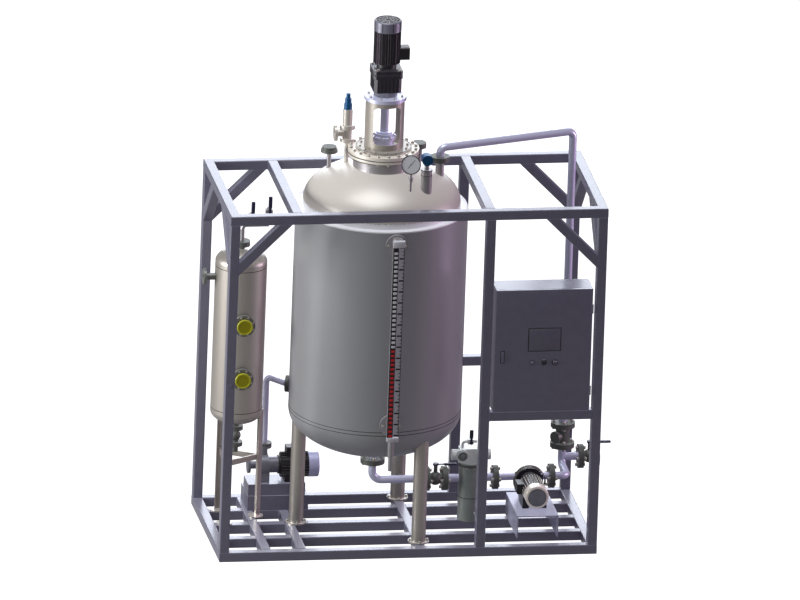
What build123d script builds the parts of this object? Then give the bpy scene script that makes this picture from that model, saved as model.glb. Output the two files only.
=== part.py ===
"""Jacketed mixing and storage tank with its pumps, separator and cabinet in a square-tube skid frame.

Millimetres. x runs along the front, y towards the back, z up.
The origin is the centre of the centre rail's underside, below the tank's axis in depth.
"""
from build123d import *
import math
import os

# Frame of square tube
tube = 60
tube_edge = 6
frame_height = 2250
brace_reach = 325
cabinet_rail_top = 940
post_boss_radius = 12
post_boss_height = 1146

# Clearances along the skid
separator_from_left = 188
separator_to_tank = 149
tank_to_post = 36
tank_to_front = 10
ring_below_rail = 67
cabinet_to_brace = 135
seat = 0.3

# Tank
jacket_diameter = 1060
jacket_wall = 4
jacket_bottom = 818
bottom_skirt = 22
jacket_ring_thickness = 8
jacket_space = 45
vessel_wall = 6
head_skirt = 30
leg_diameter = 88.9
leg_inset = 65
foot_diameter = 130
foot_thickness = 8

# Manhole and agitator
neck_diameter = 372
neck_wall = 8
manhole_flange_diameter = 438
manhole_flange_thickness = 22
manhole_above_head = 97.5
stool_flange_diameter = 348
stool_flange_thickness = 12
stool_diameter = 241
stool_wall = 8
stool_height = 341
stool_cap_diameter = 262
stool_cap_thickness = 22
window_width = 168
window_to_cap = 29
window_above_cover = 49
window_corner = 30
gearbox_boss_diameter = 148
gearbox_boss_height = 38
gearbox_width = 170
gearbox_height = 92
gearbox_flange_width = 182
gearbox_flange_thickness = 23
motor_diameter = 170
motor_body_length = 210
motor_cowl_length = 66
motor_neck_length = 30
shaft_diameter = 50
hub_diameter = 78
hub_length = 62
seal_flange_diameter = 150
seal_height = 96
seal_diameter = 120
seal_base_diameter = 152

# Nozzles on the head: heights from the manhole's face, places from the tank's axis
safety_pipe_diameter = 27
safety_place = (-213, 100)
safety_height = 7
safety_steps = ((42, 22), (28, 63), (47, 25), (29.5, 102), (25, 36), (20, 34), (13, 30))
blind_place = (-317, 120)
blind_height = -65
blind_diameter = 104
rear_place = (242, 132)
rear_height = -53
rear_diameter = 92
vapour_place = (348, -35)
vapour_height = -85
vapour_diameter = 117
nozzle_flange_thickness = 32
dial_place = (118, -330)
dial_height = -2
dial_diameter = 120
dial_facing = (-0.2, -0.92, 0.3)
transmitter_place = (223, -290)
transmitter_height = -47
transmitter_diameter = 68

# Pipework
pipe_diameter = 48.3
bend_radius = 57
top_bend_radius = 38
flange_diameter = 150
flange_thickness = 16
flange_bolt_circle = 110
flange_hole_diameter = 18
flange_holes = 4
pipe_wall = 2.6
line_height = 325
outlet_flange_height = 455
outlet_run = 339
valve_length = 112
valve_body_diameter = 84
filter_run = 72
filter_diameter = 145
filter_top = 432
filter_head_width = 150
filter_head_depth = 76
filter_boss_length = 46
filter_cap_radius = 38
filter_cap_level = 54
filter_head_height = 90
pump_run = 66
pump_inlet_length = 110
pump_outlet_length = 38
volute_diameter = 170
volute_width = 60
riser_run = 42
riser_depth = 214
riser_to_post = 48
riser_valve_bottom = 455
riser_valve_length = 130
cover_drop = 10
branch_height = 373
branch_run = 40
lever_length = 130
lever_width = 20
lever_thickness = 4
stem_diameter = 24
stem_height = 44

# Pump motors and their stands
pump_motor_diameter = 146
pump_motor_length = 300
pump_shaft_height = 302
stand_width = 256
stand_length = 400
stand_height = 142
plate = 6

# Return pump behind the separator
return_shaft_height = 323
return_motor_diameter = 160
return_motor_length = 170
return_cowl_length = 66
return_port_height = 132
return_port_diameter = 92
return_pipe_diameter = 38
return_pipe_level = 898
return_nozzle_angle = 160
return_from_left = 450
return_behind_rail = 70
return_stand_top = 227
return_frame_top = 154

# Separator
separator_diameter = 320
separator_wall = 4
separator_bottom = 782
separator_top = 1703
separator_head_rise = 80
separator_skirt = 25
separator_leg_inset = 17
angle_width = 40
angle_thickness = 5
separator_foot_diameter = 96
band_height = 36
band_level = 430
sight_heights = (1017, 1366)
sight_flange_diameter = 136
sight_cap_diameter = 86
side_nozzle_height = 1629
side_nozzle_reach = 235
small_pipe_diameter = 42.4
small_flange_diameter = 100
manifold_pipe_diameter = 26.9
manifold_height = 1960
manifold_reach = 162
manifold_spacing = 106
small_valve_width = 40
small_lever_length = 119

# Level gauge
gauge_below_ring = 77
gauge_bottom = 873
gauge_tube_diameter = 60
gauge_standoff = 90
gauge_flange_diameter = 136
gauge_rail_width = 34

# Cabinet
cabinet_side_gap = 18.5
cabinet_depth = 190
sheet = 2
door_depth = 20
door_gap = 2
screen_width = 207
screen_height = 156
screen_below_top = 255
control_spacing = 68
controls_below_screen = 72
lip = 25
control_diameter = 34

# Places worked out from the sizes above
frame_depth = jacket_diameter + 2 * tank_to_front
front = -frame_depth / 2
back = frame_depth / 2
rail_pitch = (frame_depth - tube) / 4
jacket_radius = jacket_diameter / 2
vessel_radius = jacket_radius - jacket_space
separator_radius = separator_diameter / 2
separator_to_axis = separator_radius + separator_to_tank + jacket_radius
riser_from_tank = (outlet_run + valve_length + filter_run + filter_diameter + pump_run
                   + pump_inlet_length + pump_outlet_length + volute_diameter + riser_run + bend_radius + 4 * flange_thickness)
left_span = separator_from_left + separator_to_axis
frame_length = left_span + riser_from_tank + riser_to_post + tube
left = -frame_length / 2
right = frame_length / 2
separator_x = left + separator_from_left
tank_x = separator_x + separator_to_axis
post_x = tank_x + jacket_radius + tank_to_post + tube / 2
riser_x = tank_x + riser_from_tank
separator_y = rail_pitch / 2
leg_circle = jacket_radius - leg_inset
separator_leg_circle = separator_radius - separator_leg_inset
jacket_base = jacket_bottom - bottom_skirt
jacket_top = frame_height - tube - ring_below_rail
head_base = jacket_top + head_skirt
manhole_face = head_base + vessel_radius / 2 + manhole_above_head
stool_top = manhole_face + stool_height
window_bottom = manhole_face + window_above_cover
window_height = stool_top - stool_cap_thickness - window_to_cap - window_bottom
gauge_top = jacket_top - gauge_below_ring
cabinet_height = frame_height - tube - brace_reach - cabinet_to_brace - cabinet_rail_top
screen_level = cabinet_rail_top + cabinet_height - screen_below_top
floor_level = tube
valve_x = tank_x + outlet_run
filter_x = valve_x + valve_length + flange_thickness + filter_run + filter_diameter / 2
pump_in_x = filter_x + filter_diameter / 2 + pump_run + flange_thickness
pump_x = pump_in_x + flange_thickness + pump_inlet_length + volute_diameter / 2
pump_out_x = pump_x + volute_diameter / 2 + pump_outlet_length + flange_thickness


def rod(radius, start, direction, length):
    """A round bar from a point along a direction."""
    return Plane(origin=start, z_dir=direction) * Cylinder(
        radius, length, align=(Align.CENTER, Align.CENTER, Align.MIN))


def block(x0, x1, y0, y1, z0, z1):
    """A plain box between two corners."""
    return Pos((x0 + x1) / 2, (y0 + y1) / 2, (z0 + z1) / 2) * Box(x1 - x0, y1 - y0, z1 - z0)


def square_tube(x0, x1, y0, y1, z0, z1, along):
    """A square tube with rounded long edges, closed at both ends."""
    bar = block(x0, x1, y0, y1, z0, z1)
    return fillet(bar.edges().filter_by(along), tube_edge)


def mitred_rail(x0, x1, y0, y1, z0, along, inner_side):
    """A ring rail whose ends are cut at 45 degrees towards the inside of the ring."""
    if along == Axis.X:
        outer, inner = (y0, y1) if inner_side > 0 else (y1, y0)
        corners = [(x0, outer), (x1, outer), (x1 - tube, inner), (x0 + tube, inner)]
    else:
        outer, inner = (x0, x1) if inner_side > 0 else (x1, x0)
        corners = [(outer, y0), (outer, y1), (inner, y1 - tube), (inner, y0 + tube)]
    rail = extrude(Pos(0, 0, z0) * make_face(Polyline(*corners, close=True)), tube, dir=(0, 0, 1))
    return fillet(rail.edges().filter_by(along), tube_edge)


def long_rails(z0):
    return [mitred_rail(left, right, front, front + tube, z0, Axis.X, 1),
            mitred_rail(left, right, back - tube, back, z0, Axis.X, -1)]


def end_rails(z0):
    return [mitred_rail(left, left + tube, front, back, z0, Axis.Y, 1),
            mitred_rail(right - tube, right, front, back, z0, Axis.Y, -1)]


def cross_rail(x, z0):
    return square_tube(x - tube / 2, x + tube / 2, front + tube, back - tube, z0, z0 + tube, Axis.Y)


def base_cross_places():
    """Cross rails beside the separator's right foot and below the tank's legs."""
    return [separator_x + separator_leg_circle - 31,
            tank_x - leg_circle - 42,
            tank_x + leg_circle * math.cos(math.radians(60))]


def base_cross_rails():
    return end_rails(0) + [cross_rail(x, 0) for x in base_cross_places()]


def base_inner_rails():
    """Lengthwise rails, cut where the cross rails pass."""
    stops = [left + tube] + base_cross_places() + [right - tube]
    rails = []
    for row in (-1, 0, 1):
        y = row * rail_pitch
        for i in range(len(stops) - 1):
            x0 = stops[i] + (tube / 2 if i else 0)
            x1 = stops[i + 1] - (tube / 2 if i < len(stops) - 2 else 0)
            rails.append(square_tube(x0, x1, y - tube / 2, y + tube / 2, 0, tube, Axis.X))
    return rails


def posts():
    bars = []
    for x in (left + tube / 2, post_x, right - tube / 2):
        for y in (front + tube / 2, back - tube / 2):
            bars.append(square_tube(x - tube / 2, x + tube / 2, y - tube / 2, y + tube / 2,
                                    tube, frame_height - tube, Axis.Z))
    bars[0] += rod(post_boss_radius, (left + tube / 2, front - 4, post_boss_height), (0, 1, 0), 8)
    return bars


def top_cross_rails():
    z0 = frame_height - tube
    return end_rails(z0) + [cross_rail(left + 422, z0), cross_rail(post_x, z0)]


def brace(corner, run, across):
    """A 45-degree tube between a post and the rail above it."""
    near = brace_reach - tube * math.sqrt(2)
    profile = make_face(Polyline((brace_reach, 0), (near, 0), (0, -near), (0, -brace_reach), close=True))
    plane = Plane(origin=corner, x_dir=run, z_dir=across)
    if plane.y_dir.Z < 0:
        plane = Plane(origin=corner, x_dir=run, z_dir=-Vector(*across))
    bar = extrude(plane * profile, tube / 2, both=True)
    slope = Vector(*run) + Vector(0, 0, 1)
    return fillet(bar.edges().filter_by(Axis((0, 0, 0), slope)), tube_edge)


def corner_braces():
    z = frame_height - tube
    bars = []
    for y in (front + tube / 2, back - tube / 2):
        bars.append(brace((left + tube, y, z), (1, 0, 0), (0, 1, 0)))
        bars.append(brace((right - tube, y, z), (-1, 0, 0), (0, 1, 0)))
    for x in (left + tube / 2, right - tube / 2):
        bars.append(brace((x, front + tube, z), (0, 1, 0), (1, 0, 0)))
        bars.append(brace((x, back - tube, z), (0, -1, 0), (1, 0, 0)))
    return bars


def cabinet_rails():
    x0 = post_x + tube / 2
    x1 = right - tube
    z0 = cabinet_rail_top - tube
    return [square_tube(x0, x1, y, y + tube, z0, z0 + tube, Axis.X) for y in (front, back - tube)]


def domed(radius, rise, x, y, z, sign):
    """A closed half ellipsoid on a level circle, above it or below it."""
    quarter = EllipticalCenterArc((0, 0), radius, rise, start_angle=0, arc_size=90)
    face = make_face([quarter, Line((0, rise), (0, 0)), Line((0, 0), (radius, 0))])
    dome = revolve(Plane.XZ * face, Axis.Z)
    if sign < 0:
        dome = mirror(dome, Plane.XY)
    return Pos(x, y, z) * dome


def head(radius, rise, wall, skirt, x, y, z, sign):
    """A dished end: an ellipsoidal shell with a straight skirt that reaches level z."""
    base = z + sign * skirt
    outer = domed(radius, rise, x, y, base, sign) + rod(radius, (x, y, z), (0, 0, sign), skirt)
    inner = domed(radius - wall, rise - wall, x, y, base, sign)
    inner += rod(radius - wall, (x, y, z), (0, 0, sign), skirt)
    return outer - inner


def head_height(radius, rise, offset):
    """Height of an ellipsoidal head above its base circle at a distance from its axis."""
    return rise * math.sqrt(1 - (offset / radius) ** 2)


def ring(outer, inner, x, y, z, height):
    return rod(outer, (x, y, z), (0, 0, 1), height) - rod(inner, (x, y, z), (0, 0, 1), height)


def jacket_shell():
    return ring(jacket_radius, jacket_radius - jacket_wall, tank_x, 0, jacket_bottom,
                jacket_top - jacket_ring_thickness - jacket_bottom)


def jacket_ring():
    return ring(jacket_radius, vessel_radius, tank_x, 0, jacket_top - jacket_ring_thickness,
                jacket_ring_thickness)


def jacket_bottom_head():
    shell = head(jacket_radius, jacket_radius / 2, jacket_wall, bottom_skirt, tank_x, 0, jacket_bottom, -1)
    return shell - rod(pipe_diameter / 2 + seat, (tank_x, 0, floor_level), (0, 0, 1), jacket_base - floor_level)


def inner_vessel():
    """The vessel inside the jacket: its wall and its own dished bottom."""
    inset = jacket_radius - vessel_radius
    base = jacket_bottom + inset
    wall = ring(vessel_radius, vessel_radius - vessel_wall, tank_x, 0, base, jacket_top - base)
    return wall + head(vessel_radius, vessel_radius / 2, vessel_wall, bottom_skirt, tank_x, 0, base, -1)


def top_head():
    shell = head(vessel_radius, vessel_radius / 2, vessel_wall, head_skirt, tank_x, 0, jacket_top, 1)
    bore = neck_diameter / 2 - neck_wall
    return shell - rod(bore, (tank_x, 0, head_base), (0, 0, 1), vessel_radius)


def above_head(solid):
    """Cuts a nozzle off where it meets the top head."""
    return solid - domed(vessel_radius + seat, vessel_radius / 2 + seat, tank_x, 0, head_base, 1)


def tank_legs():
    legs = []
    for angle in (180, 60, -60):
        x = tank_x + leg_circle * math.cos(math.radians(angle))
        y = leg_circle * math.sin(math.radians(angle))
        leg = rod(leg_diameter / 2, (x, y, floor_level), (0, 0, 1), jacket_base - floor_level)
        leg += rod(foot_diameter / 2, (x, y, floor_level), (0, 0, 1), foot_thickness)
        legs.append(leg - domed(jacket_radius + seat, jacket_radius / 2 + seat, tank_x, 0, jacket_base, -1))
    return legs


def manhole_neck():
    """Neck on the head with the lower of the two large flanges."""
    flange_base = manhole_face - 2 * manhole_flange_thickness
    bore = neck_diameter / 2 - neck_wall
    neck = rod(neck_diameter / 2, (tank_x, 0, head_base), (0, 0, 1), flange_base - head_base)
    neck = above_head(neck)
    neck += rod(manhole_flange_diameter / 2, (tank_x, 0, flange_base), (0, 0, 1), manhole_flange_thickness)
    return neck - rod(bore, (tank_x, 0, head_base), (0, 0, 1), manhole_face - head_base)


def manhole_cover():
    base = manhole_face - manhole_flange_thickness
    cover = rod(manhole_flange_diameter / 2, (tank_x, 0, base), (0, 0, 1), manhole_flange_thickness)
    return cover


def agitator_stool():
    """Round lantern on the cover, with a tall window in front and behind."""
    base = manhole_face
    cap_base = stool_top - stool_cap_thickness
    body = rod(stool_diameter / 2, (tank_x, 0, base), (0, 0, 1), stool_top - base)
    body += rod(stool_flange_diameter / 2, (tank_x, 0, base), (0, 0, 1), stool_flange_thickness)
    body += rod(stool_cap_diameter / 2, (tank_x, 0, cap_base), (0, 0, 1), stool_cap_thickness)
    body -= rod(stool_diameter / 2 - stool_wall, (tank_x, 0, base), (0, 0, 1), cap_base - base)
    body -= rod(hub_diameter / 2 + 6, (tank_x, 0, cap_base), (0, 0, 1), stool_cap_thickness)
    opening = Plane(origin=(tank_x, 0, window_bottom + window_height / 2), x_dir=(1, 0, 0),
                    z_dir=(0, 1, 0)) * RectangleRounded(window_width, window_height, window_corner)
    return body - extrude(opening, stool_diameter, both=True)


def seal_housing():
    """Shaft seal on the cover, with its flange at the top."""
    z = manhole_face
    body = rod(seal_diameter / 2, (tank_x, 0, z), (0, 0, 1), seal_height)
    body += rod(seal_base_diameter / 2, (tank_x, 0, z), (0, 0, 1), 14)
    body += rod(seal_flange_diameter / 2, (tank_x, 0, z + seal_height - 34), (0, 0, 1), 16)
    body += rod(48, (tank_x, 0, z + seal_height), (0, 0, 1), 10)
    return body - rod(shaft_diameter / 2 + seat, (tank_x, 0, z + 20), (0, 0, 1), seal_height)


def agitator_shaft():
    """Turning shaft between the seal and the gearbox, with its coupling hub."""
    z = manhole_face + 20 + seat
    top = stool_top - seat
    shaft = rod(shaft_diameter / 2, (tank_x, 0, z), (0, 0, 1), top - z)
    hub_base = stool_top - stool_cap_thickness - hub_length
    shaft += rod(hub_diameter / 2, (tank_x, 0, hub_base), (0, 0, 1), top - hub_base)
    key = block(tank_x - 6, tank_x + 6, -hub_diameter / 2 - 5, hub_diameter / 2 + 5, hub_base, hub_base + 18)
    return shaft + key


def gearbox():
    """Square reduction gear with a round boss below and two square flanges above."""
    boss = Plane(origin=(tank_x, 0, stool_top)) * extrude(RegularPolygon(gearbox_boss_diameter / 2, 8),
                                                         gearbox_boss_height)
    base = stool_top + gearbox_boss_height
    body = block(tank_x - gearbox_width / 2, tank_x + gearbox_width / 2,
                 -gearbox_width / 2, gearbox_width / 2, base, base + gearbox_height)
    body = chamfer(body.edges().filter_by(Axis.Z), 18)
    z = base + gearbox_height
    box = boss + body
    for step in range(2):
        half = gearbox_flange_width / 2
        plate_box = block(tank_x - half, tank_x + half, -half, half, z, z + gearbox_flange_thickness)
        box += chamfer(plate_box.edges().filter_by(Axis.Z), 14)
        z += gearbox_flange_thickness
        box += rod(gearbox_width / 2 - 8, (tank_x, 0, z), (0, 0, 1), 4)
        z += 4
    return box


def gearbox_top():
    return stool_top + gearbox_boss_height + gearbox_height + 2 * (gearbox_flange_thickness + 4)


def finned_motor(start, direction, radius, body_length, cowl_length, neck_length, fins):
    """A motor along a direction: neck, finned body and a smooth fan cowl."""
    direction = Vector(*direction)
    origin = Vector(*start)
    body_start = origin + direction * neck_length
    cowl_start = body_start + direction * body_length
    motor = rod(radius * 0.72, origin, direction, neck_length)
    motor += rod(radius * 0.88, body_start, direction, body_length)
    fin = Pos(0, 0, body_length / 2) * Box(2 * radius * 0.98, 4, body_length)
    for i in range(fins):
        motor += Plane(origin=body_start, z_dir=direction) * (Rot(0, 0, 180 * (i + 0.5) / fins) * fin)
    cowl = rod(radius, cowl_start, direction, cowl_length)
    cowl = fillet(cowl.edges().sort_by(Axis(origin, direction))[-1], radius * 0.1)
    return motor + cowl


def agitator_motor():
    z = gearbox_top()
    motor = finned_motor((tank_x, 0, z), (0, 0, 1), motor_diameter / 2, motor_body_length,
                         motor_cowl_length, motor_neck_length, 14)
    box_z = z + motor_neck_length + 60
    box = block(tank_x + motor_diameter / 2 - 20, tank_x + motor_diameter / 2 + 52, -40, 40, box_z - 40, box_z + 40)
    return motor + fillet(box.edges().filter_by(Axis.X), 12)


def on_head(x, y, top, radius):
    """A nozzle stub from the top head up to a level."""
    stub = rod(radius, (x, y, head_base), (0, 0, 1), top - head_base)
    return above_head(stub)


def head_place(place, height):
    """A point on the head's nozzle plan at a height above the manhole's face."""
    return tank_x + place[0], place[1], manhole_face + height


def safety_valve():
    """Spring-loaded valve: its stepped body, the blue cap above and the outlet to the left."""
    x, y, z = head_place(safety_place, safety_height)
    valve = on_head(x, y, z, safety_pipe_diameter / 2)
    step_base = z
    for radius, height in safety_steps:
        valve += rod(radius, (x, y, step_base), (0, 0, 1), height)
        step_base += height
    outlet = z + 56
    valve += rod(22, (x, y, outlet), (-1, 0, 0), 66)
    valve += rod(49, (x - 64, y, outlet), (-1, 0, 0), flange_thickness)
    return valve - rod(16, (x - 30, y, outlet), (-1, 0, 0), 50)


def head_nozzles():
    """Blind nozzle on the left and the nozzle at the right rear."""
    x, y, z = head_place(blind_place, blind_height)
    blind = on_head(x, y, z, 14)
    blind += rod(blind_diameter / 2, (x, y, z), (0, 0, 1), 18)
    blind += rod(blind_diameter / 2 - 8, (x, y, z + 18), (0, 0, 1), 18)
    x, y, z = head_place(rear_place, rear_height)
    rear = on_head(x, y, z, 21)
    rear += rod(rear_diameter / 2, (x, y, z), (0, 0, 1), nozzle_flange_thickness)
    return [blind, rear]


def vapour_nozzle():
    """Nozzle to the top pipe with its pair of flanges."""
    x, y, z = head_place(vapour_place, vapour_height)
    return on_head(x, y, z, 26) + rod(vapour_diameter / 2, (x, y, z), (0, 0, 1), nozzle_flange_thickness)


def pressure_gauge():
    """Dial on its stem, tilted towards a person in front of the skid."""
    x, y, z = head_place(dial_place, dial_height)
    facing = Vector(*dial_facing)
    gauge = on_head(x, y, z - 50, 8)
    gauge += rod(14, (x, y, z - 110), (0, 0, 1), 30)
    return gauge + rod(dial_diameter / 2, Vector(x, y, z) - facing.normalized() * 16, facing, 32)


def level_transmitter():
    """Level sensor: a wide stub with a round electronics head lying across it."""
    x, y, z = head_place(transmitter_place, transmitter_height)
    radius = transmitter_diameter / 2
    body = on_head(x, y, z, radius)
    body += rod(14, (x, y, z), (0, 0, 1), 40)
    return body + rod(radius, (x, y + 30, z + 30 + radius), (0, -1, 0), 60)


def pipe_path(points, radius, bend):
    """A round bar swept along straight runs joined by bends."""
    path = FilletPolyline(*points, radius=bend) if len(points) > 2 else Polyline(*points)
    return sweep(Plane(origin=points[0], z_dir=Vector(*points[1]) - Vector(*points[0])) * Circle(radius),
                 path=path)


def outlet_pipe():
    """Bottom outlet, its flanged joint, the elbow and the run to the first valve."""
    neck = rod(pipe_diameter / 2, (tank_x, 0, outlet_flange_height), (0, 0, 1),
               jacket_base - jacket_radius / 2 - outlet_flange_height + 12)
    neck += rod(flange_diameter / 2, (tank_x, 0, outlet_flange_height), (0, 0, 1), flange_thickness)
    run = pipe_path([(tank_x, 0, outlet_flange_height), (tank_x, 0, line_height),
                     (valve_x, 0, line_height)], pipe_diameter / 2, bend_radius)
    run += rod(flange_diameter / 2, (tank_x, 0, outlet_flange_height - flange_thickness), (0, 0, 1),
               flange_thickness)
    run += rod(flange_diameter / 2, (valve_x - flange_thickness, 0, line_height), (1, 0, 0), flange_thickness)
    return neck + run


def flanged_valve(start, direction):
    """A ball valve body between its two flanges."""
    start = Vector(*start)
    direction = Vector(*direction)
    valve = rod(flange_diameter / 2, start, direction, flange_thickness)
    valve += rod(flange_diameter / 2, start + direction * (valve_length - flange_thickness), direction,
                 flange_thickness)
    valve += rod(valve_body_diameter / 2 - 12, start, direction, valve_length)
    middle = start + direction * (valve_length / 2)
    return valve + Pos(middle.X, middle.Y, middle.Z) * Sphere(valve_body_diameter / 2)


def stem_top():
    return line_height + valve_body_diameter / 2 + stem_height


def outlet_valve():
    valve = flanged_valve((valve_x, 0, line_height), (1, 0, 0))
    x = valve_x + valve_length / 2
    return valve + rod(stem_diameter / 2, (x, 0, line_height), (0, 0, 1), valve_body_diameter / 2 + stem_height)


def flat_lever(pivot, stem, along, length):
    """A flat quarter-turn lever with a hub on the stem and a thicker grip."""
    pivot = Vector(*pivot) + Vector(*stem) * seat
    plane = Plane(origin=pivot, x_dir=along, z_dir=stem)
    hub = plane * Cylinder(stem_diameter * 0.75, 12, align=(Align.CENTER, Align.CENTER, Align.MIN))
    arm = plane * Pos(length / 2, 0, 4) * Box(length, lever_width, lever_thickness)
    grip_length = length * 0.6
    grip = plane * Pos(length - grip_length / 2, 0, 4) * Box(grip_length, lever_width + 4, lever_thickness + 6)
    return hub + arm + fillet(grip.edges(), 3)


def outlet_valve_lever():
    return flat_lever((valve_x + valve_length / 2, 0, stem_top()), (0, 0, 1), (1, 0, 0), lever_length)


def line_spools():
    """The flanged runs into the filter and from the filter to the pump."""
    x0 = valve_x + valve_length
    x1 = filter_x - filter_diameter / 2
    first = rod(pipe_diameter / 2, (x0, 0, line_height), (1, 0, 0), x1 - x0 - seat)
    first += rod(flange_diameter / 2, (x0, 0, line_height), (1, 0, 0), flange_thickness)
    x2 = filter_x + filter_diameter / 2
    second = rod(pipe_diameter / 2, (x2 + seat, 0, line_height), (1, 0, 0), pump_in_x - x2 - seat)
    second += rod(flange_diameter / 2, (pump_in_x - flange_thickness, 0, line_height), (1, 0, 0),
                  flange_thickness)
    return [first, second]


def filter_body():
    body = rod(filter_diameter / 2, (filter_x, 0, floor_level), (0, 0, 1), filter_top - floor_level)
    tap_z = floor_level + 55
    body += rod(9, (filter_x, 0, tap_z), (0.35, -1, 0), filter_diameter / 2 + 26)
    return body


def filter_head():
    """Block on the filter with a round boss at each side and two round caps in front."""
    half = filter_head_width / 2
    top = filter_top + filter_head_height
    face = -filter_head_depth / 2
    z = filter_top + filter_cap_level
    body = block(filter_x - half, filter_x + half, face, -face, filter_top, top)
    body = fillet(body.edges().filter_by(Axis.Z), 12)
    for side in (-1, 1):
        x = filter_x + side * (half - 14)
        body += rod(filter_cap_radius, (x, face, z), (0, -1, 0), 16)
        body += rod(filter_cap_radius - 10, (x, face - 16, z), (0, -1, 0), 8)
        body += rod(filter_cap_radius - 4, (filter_x + side * half, 0, z - 10), (side, 0, 0),
                    filter_boss_length)
    return body


def vent_height():
    return filter_top + filter_head_height + 38


def vent_valve_x():
    return filter_x - 5


def filter_vent():
    """Vent pipe over the filter with its small valve."""
    x0 = filter_x - filter_head_width / 2 + 22
    base = filter_top + filter_head_height
    z = vent_height()
    pipe = pipe_path([(x0, 0, base), (x0, 0, z), (vent_valve_x() + 40, 0, z)], 9, 20)
    return pipe + block(vent_valve_x() - 18, vent_valve_x() + 18, -15, 15, z - 15, z + 15) \
        + rod(6, (vent_valve_x(), -15, z), (0, -1, 0), 10)


def vent_lever():
    return small_lever((vent_valve_x(), -25, vent_height()), 84)


def small_lever(pivot, length):
    """An upright flat lever that turns about a stem pointing to the front."""
    x, y, z = pivot
    hub = rod(11, (x, y - seat, z), (0, -1, 0), 8)
    arm = block(x - 7, x + 7, y - seat - 6, y - seat - 2, z, z + length)
    grip = block(x - 9, x + 9, y - seat - 9, y - seat + 1, z + length * 0.4, z + length)
    return hub + arm + fillet(grip.edges(), 3)


def transfer_pump():
    """Inline pump head: two flanged ports and the volute, whose shaft points to the front."""
    start = pump_in_x
    port_end = pump_x - volute_diameter / 2
    head_ = rod(flange_diameter / 2, (start, 0, line_height), (1, 0, 0), flange_thickness)
    head_ += rod(flange_diameter / 2, (pump_out_x - flange_thickness, 0, line_height), (1, 0, 0),
                 flange_thickness)
    head_ += rod(22, (start, 0, line_height), (1, 0, 0), pump_out_x - start)
    head_ += rod(volute_diameter / 2, (pump_x, volute_width / 2, pump_shaft_height), (0, -1, 0), volute_width)
    head_ += rod(62, (pump_x, -volute_width / 2, pump_shaft_height), (0, -1, 0), 24)
    head_ += rod(30, (port_end, 0, line_height), (1, 0, 0), volute_diameter)
    foot = block(pump_x - 60, pump_x + 60, -20, 20, floor_level + stand_height, pump_shaft_height)
    return head_ + foot


def transfer_pump_motor():
    y = -volute_width / 2 - 24
    r = pump_motor_diameter / 2
    neck = 20
    motor = finned_motor((pump_x, y, pump_shaft_height), (0, -1, 0), r, pump_motor_length - 90 - neck, 70,
                         neck, 12)
    base = floor_level + stand_height
    for side in (-1, 1):
        motor += block(pump_x + side * 55 - 20, pump_x + side * 55 + 20, y - 190, y - 50,
                       base, pump_shaft_height - 30)
    box = block(pump_x - r - 34, pump_x - r + 20, y - 150, y - 60, pump_shaft_height - 20,
                pump_shaft_height + 44)
    return motor + fillet(box.edges().filter_by(Axis.Y), 8)


def stand(x0, x1, y0, y1, z0, z1):
    """A bent-plate pump stand: two upright sides and a top, open in front and behind."""
    return [block(x0, x0 + plate, y0, y1, z0, z1 - plate),
            block(x1 - plate, x1, y0, y1, z0, z1 - plate),
            block(x0, x1, y0, y1, z1 - plate, z1)]


def joined(solids):
    whole = solids[0]
    for solid in solids[1:]:
        whole += solid
    return whole


def transfer_pump_stand():
    y1 = 60
    return joined(stand(pump_x - stand_width / 2, pump_x + stand_width / 2, y1 - stand_length - 45, y1,
                        floor_level, floor_level + stand_height))


def riser_lower():
    """Pump discharge: the two bends, the branch to the drain valve and the riser's lower end."""
    bend = bend_radius * 0.75
    pipe = pipe_path([(pump_out_x, 0, line_height), (riser_x, 0, line_height),
                      (riser_x, riser_depth, line_height), (riser_x, riser_depth, riser_valve_bottom)],
                     pipe_diameter / 2, bend)
    pipe += rod(flange_diameter / 2, (pump_out_x, 0, line_height), (1, 0, 0), flange_thickness)
    pipe += rod(flange_diameter / 2, (riser_x, riser_depth, riser_valve_bottom - flange_thickness),
                (0, 0, 1), flange_thickness)
    branch_x = riser_x + 8
    pipe += rod(pipe_diameter / 2, (branch_x, riser_depth, branch_height), (1, 0, 0), drain_x() - branch_x)
    pipe += rod(flange_diameter / 2, (drain_x() - flange_thickness, riser_depth, branch_height), (1, 0, 0),
                flange_thickness)
    return pipe


def drain_x():
    return right + branch_run - 2 * flange_thickness


def riser_valve():
    return swing_valve((riser_x, riser_depth, riser_valve_bottom))


def swing_valve(base):
    """A check valve between flanges, with a round bolted cover on its front."""
    x, y, z = base
    length = riser_valve_length
    valve = rod(flange_diameter / 2, base, (0, 0, 1), flange_thickness)
    valve += rod(flange_diameter / 2, (x, y, z + length - flange_thickness), (0, 0, 1), flange_thickness)
    valve += rod(42, base, (0, 0, 1), length)
    cover = Vector(x, y, z + length / 2 - cover_drop)
    facing = Vector(-0.8, -0.6, 0)
    valve += rod(30, cover, facing, 62)
    return valve + rod(38, cover + facing * 54, facing, 16)


def top_pipe():
    """From the riser valve up behind the cabinet and across to the vapour nozzle."""
    x, y, nozzle = head_place(vapour_place, vapour_height)
    base = riser_valve_bottom + riser_valve_length
    pipe = pipe_path([(riser_x, riser_depth, base), (riser_x, riser_depth, manhole_face),
                      (x, y, manhole_face), (x, y, nozzle + nozzle_flange_thickness)],
                     pipe_diameter / 2, top_bend_radius)
    return pipe + rod(flange_diameter / 2, (riser_x, riser_depth, base), (0, 0, 1), flange_thickness)


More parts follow.
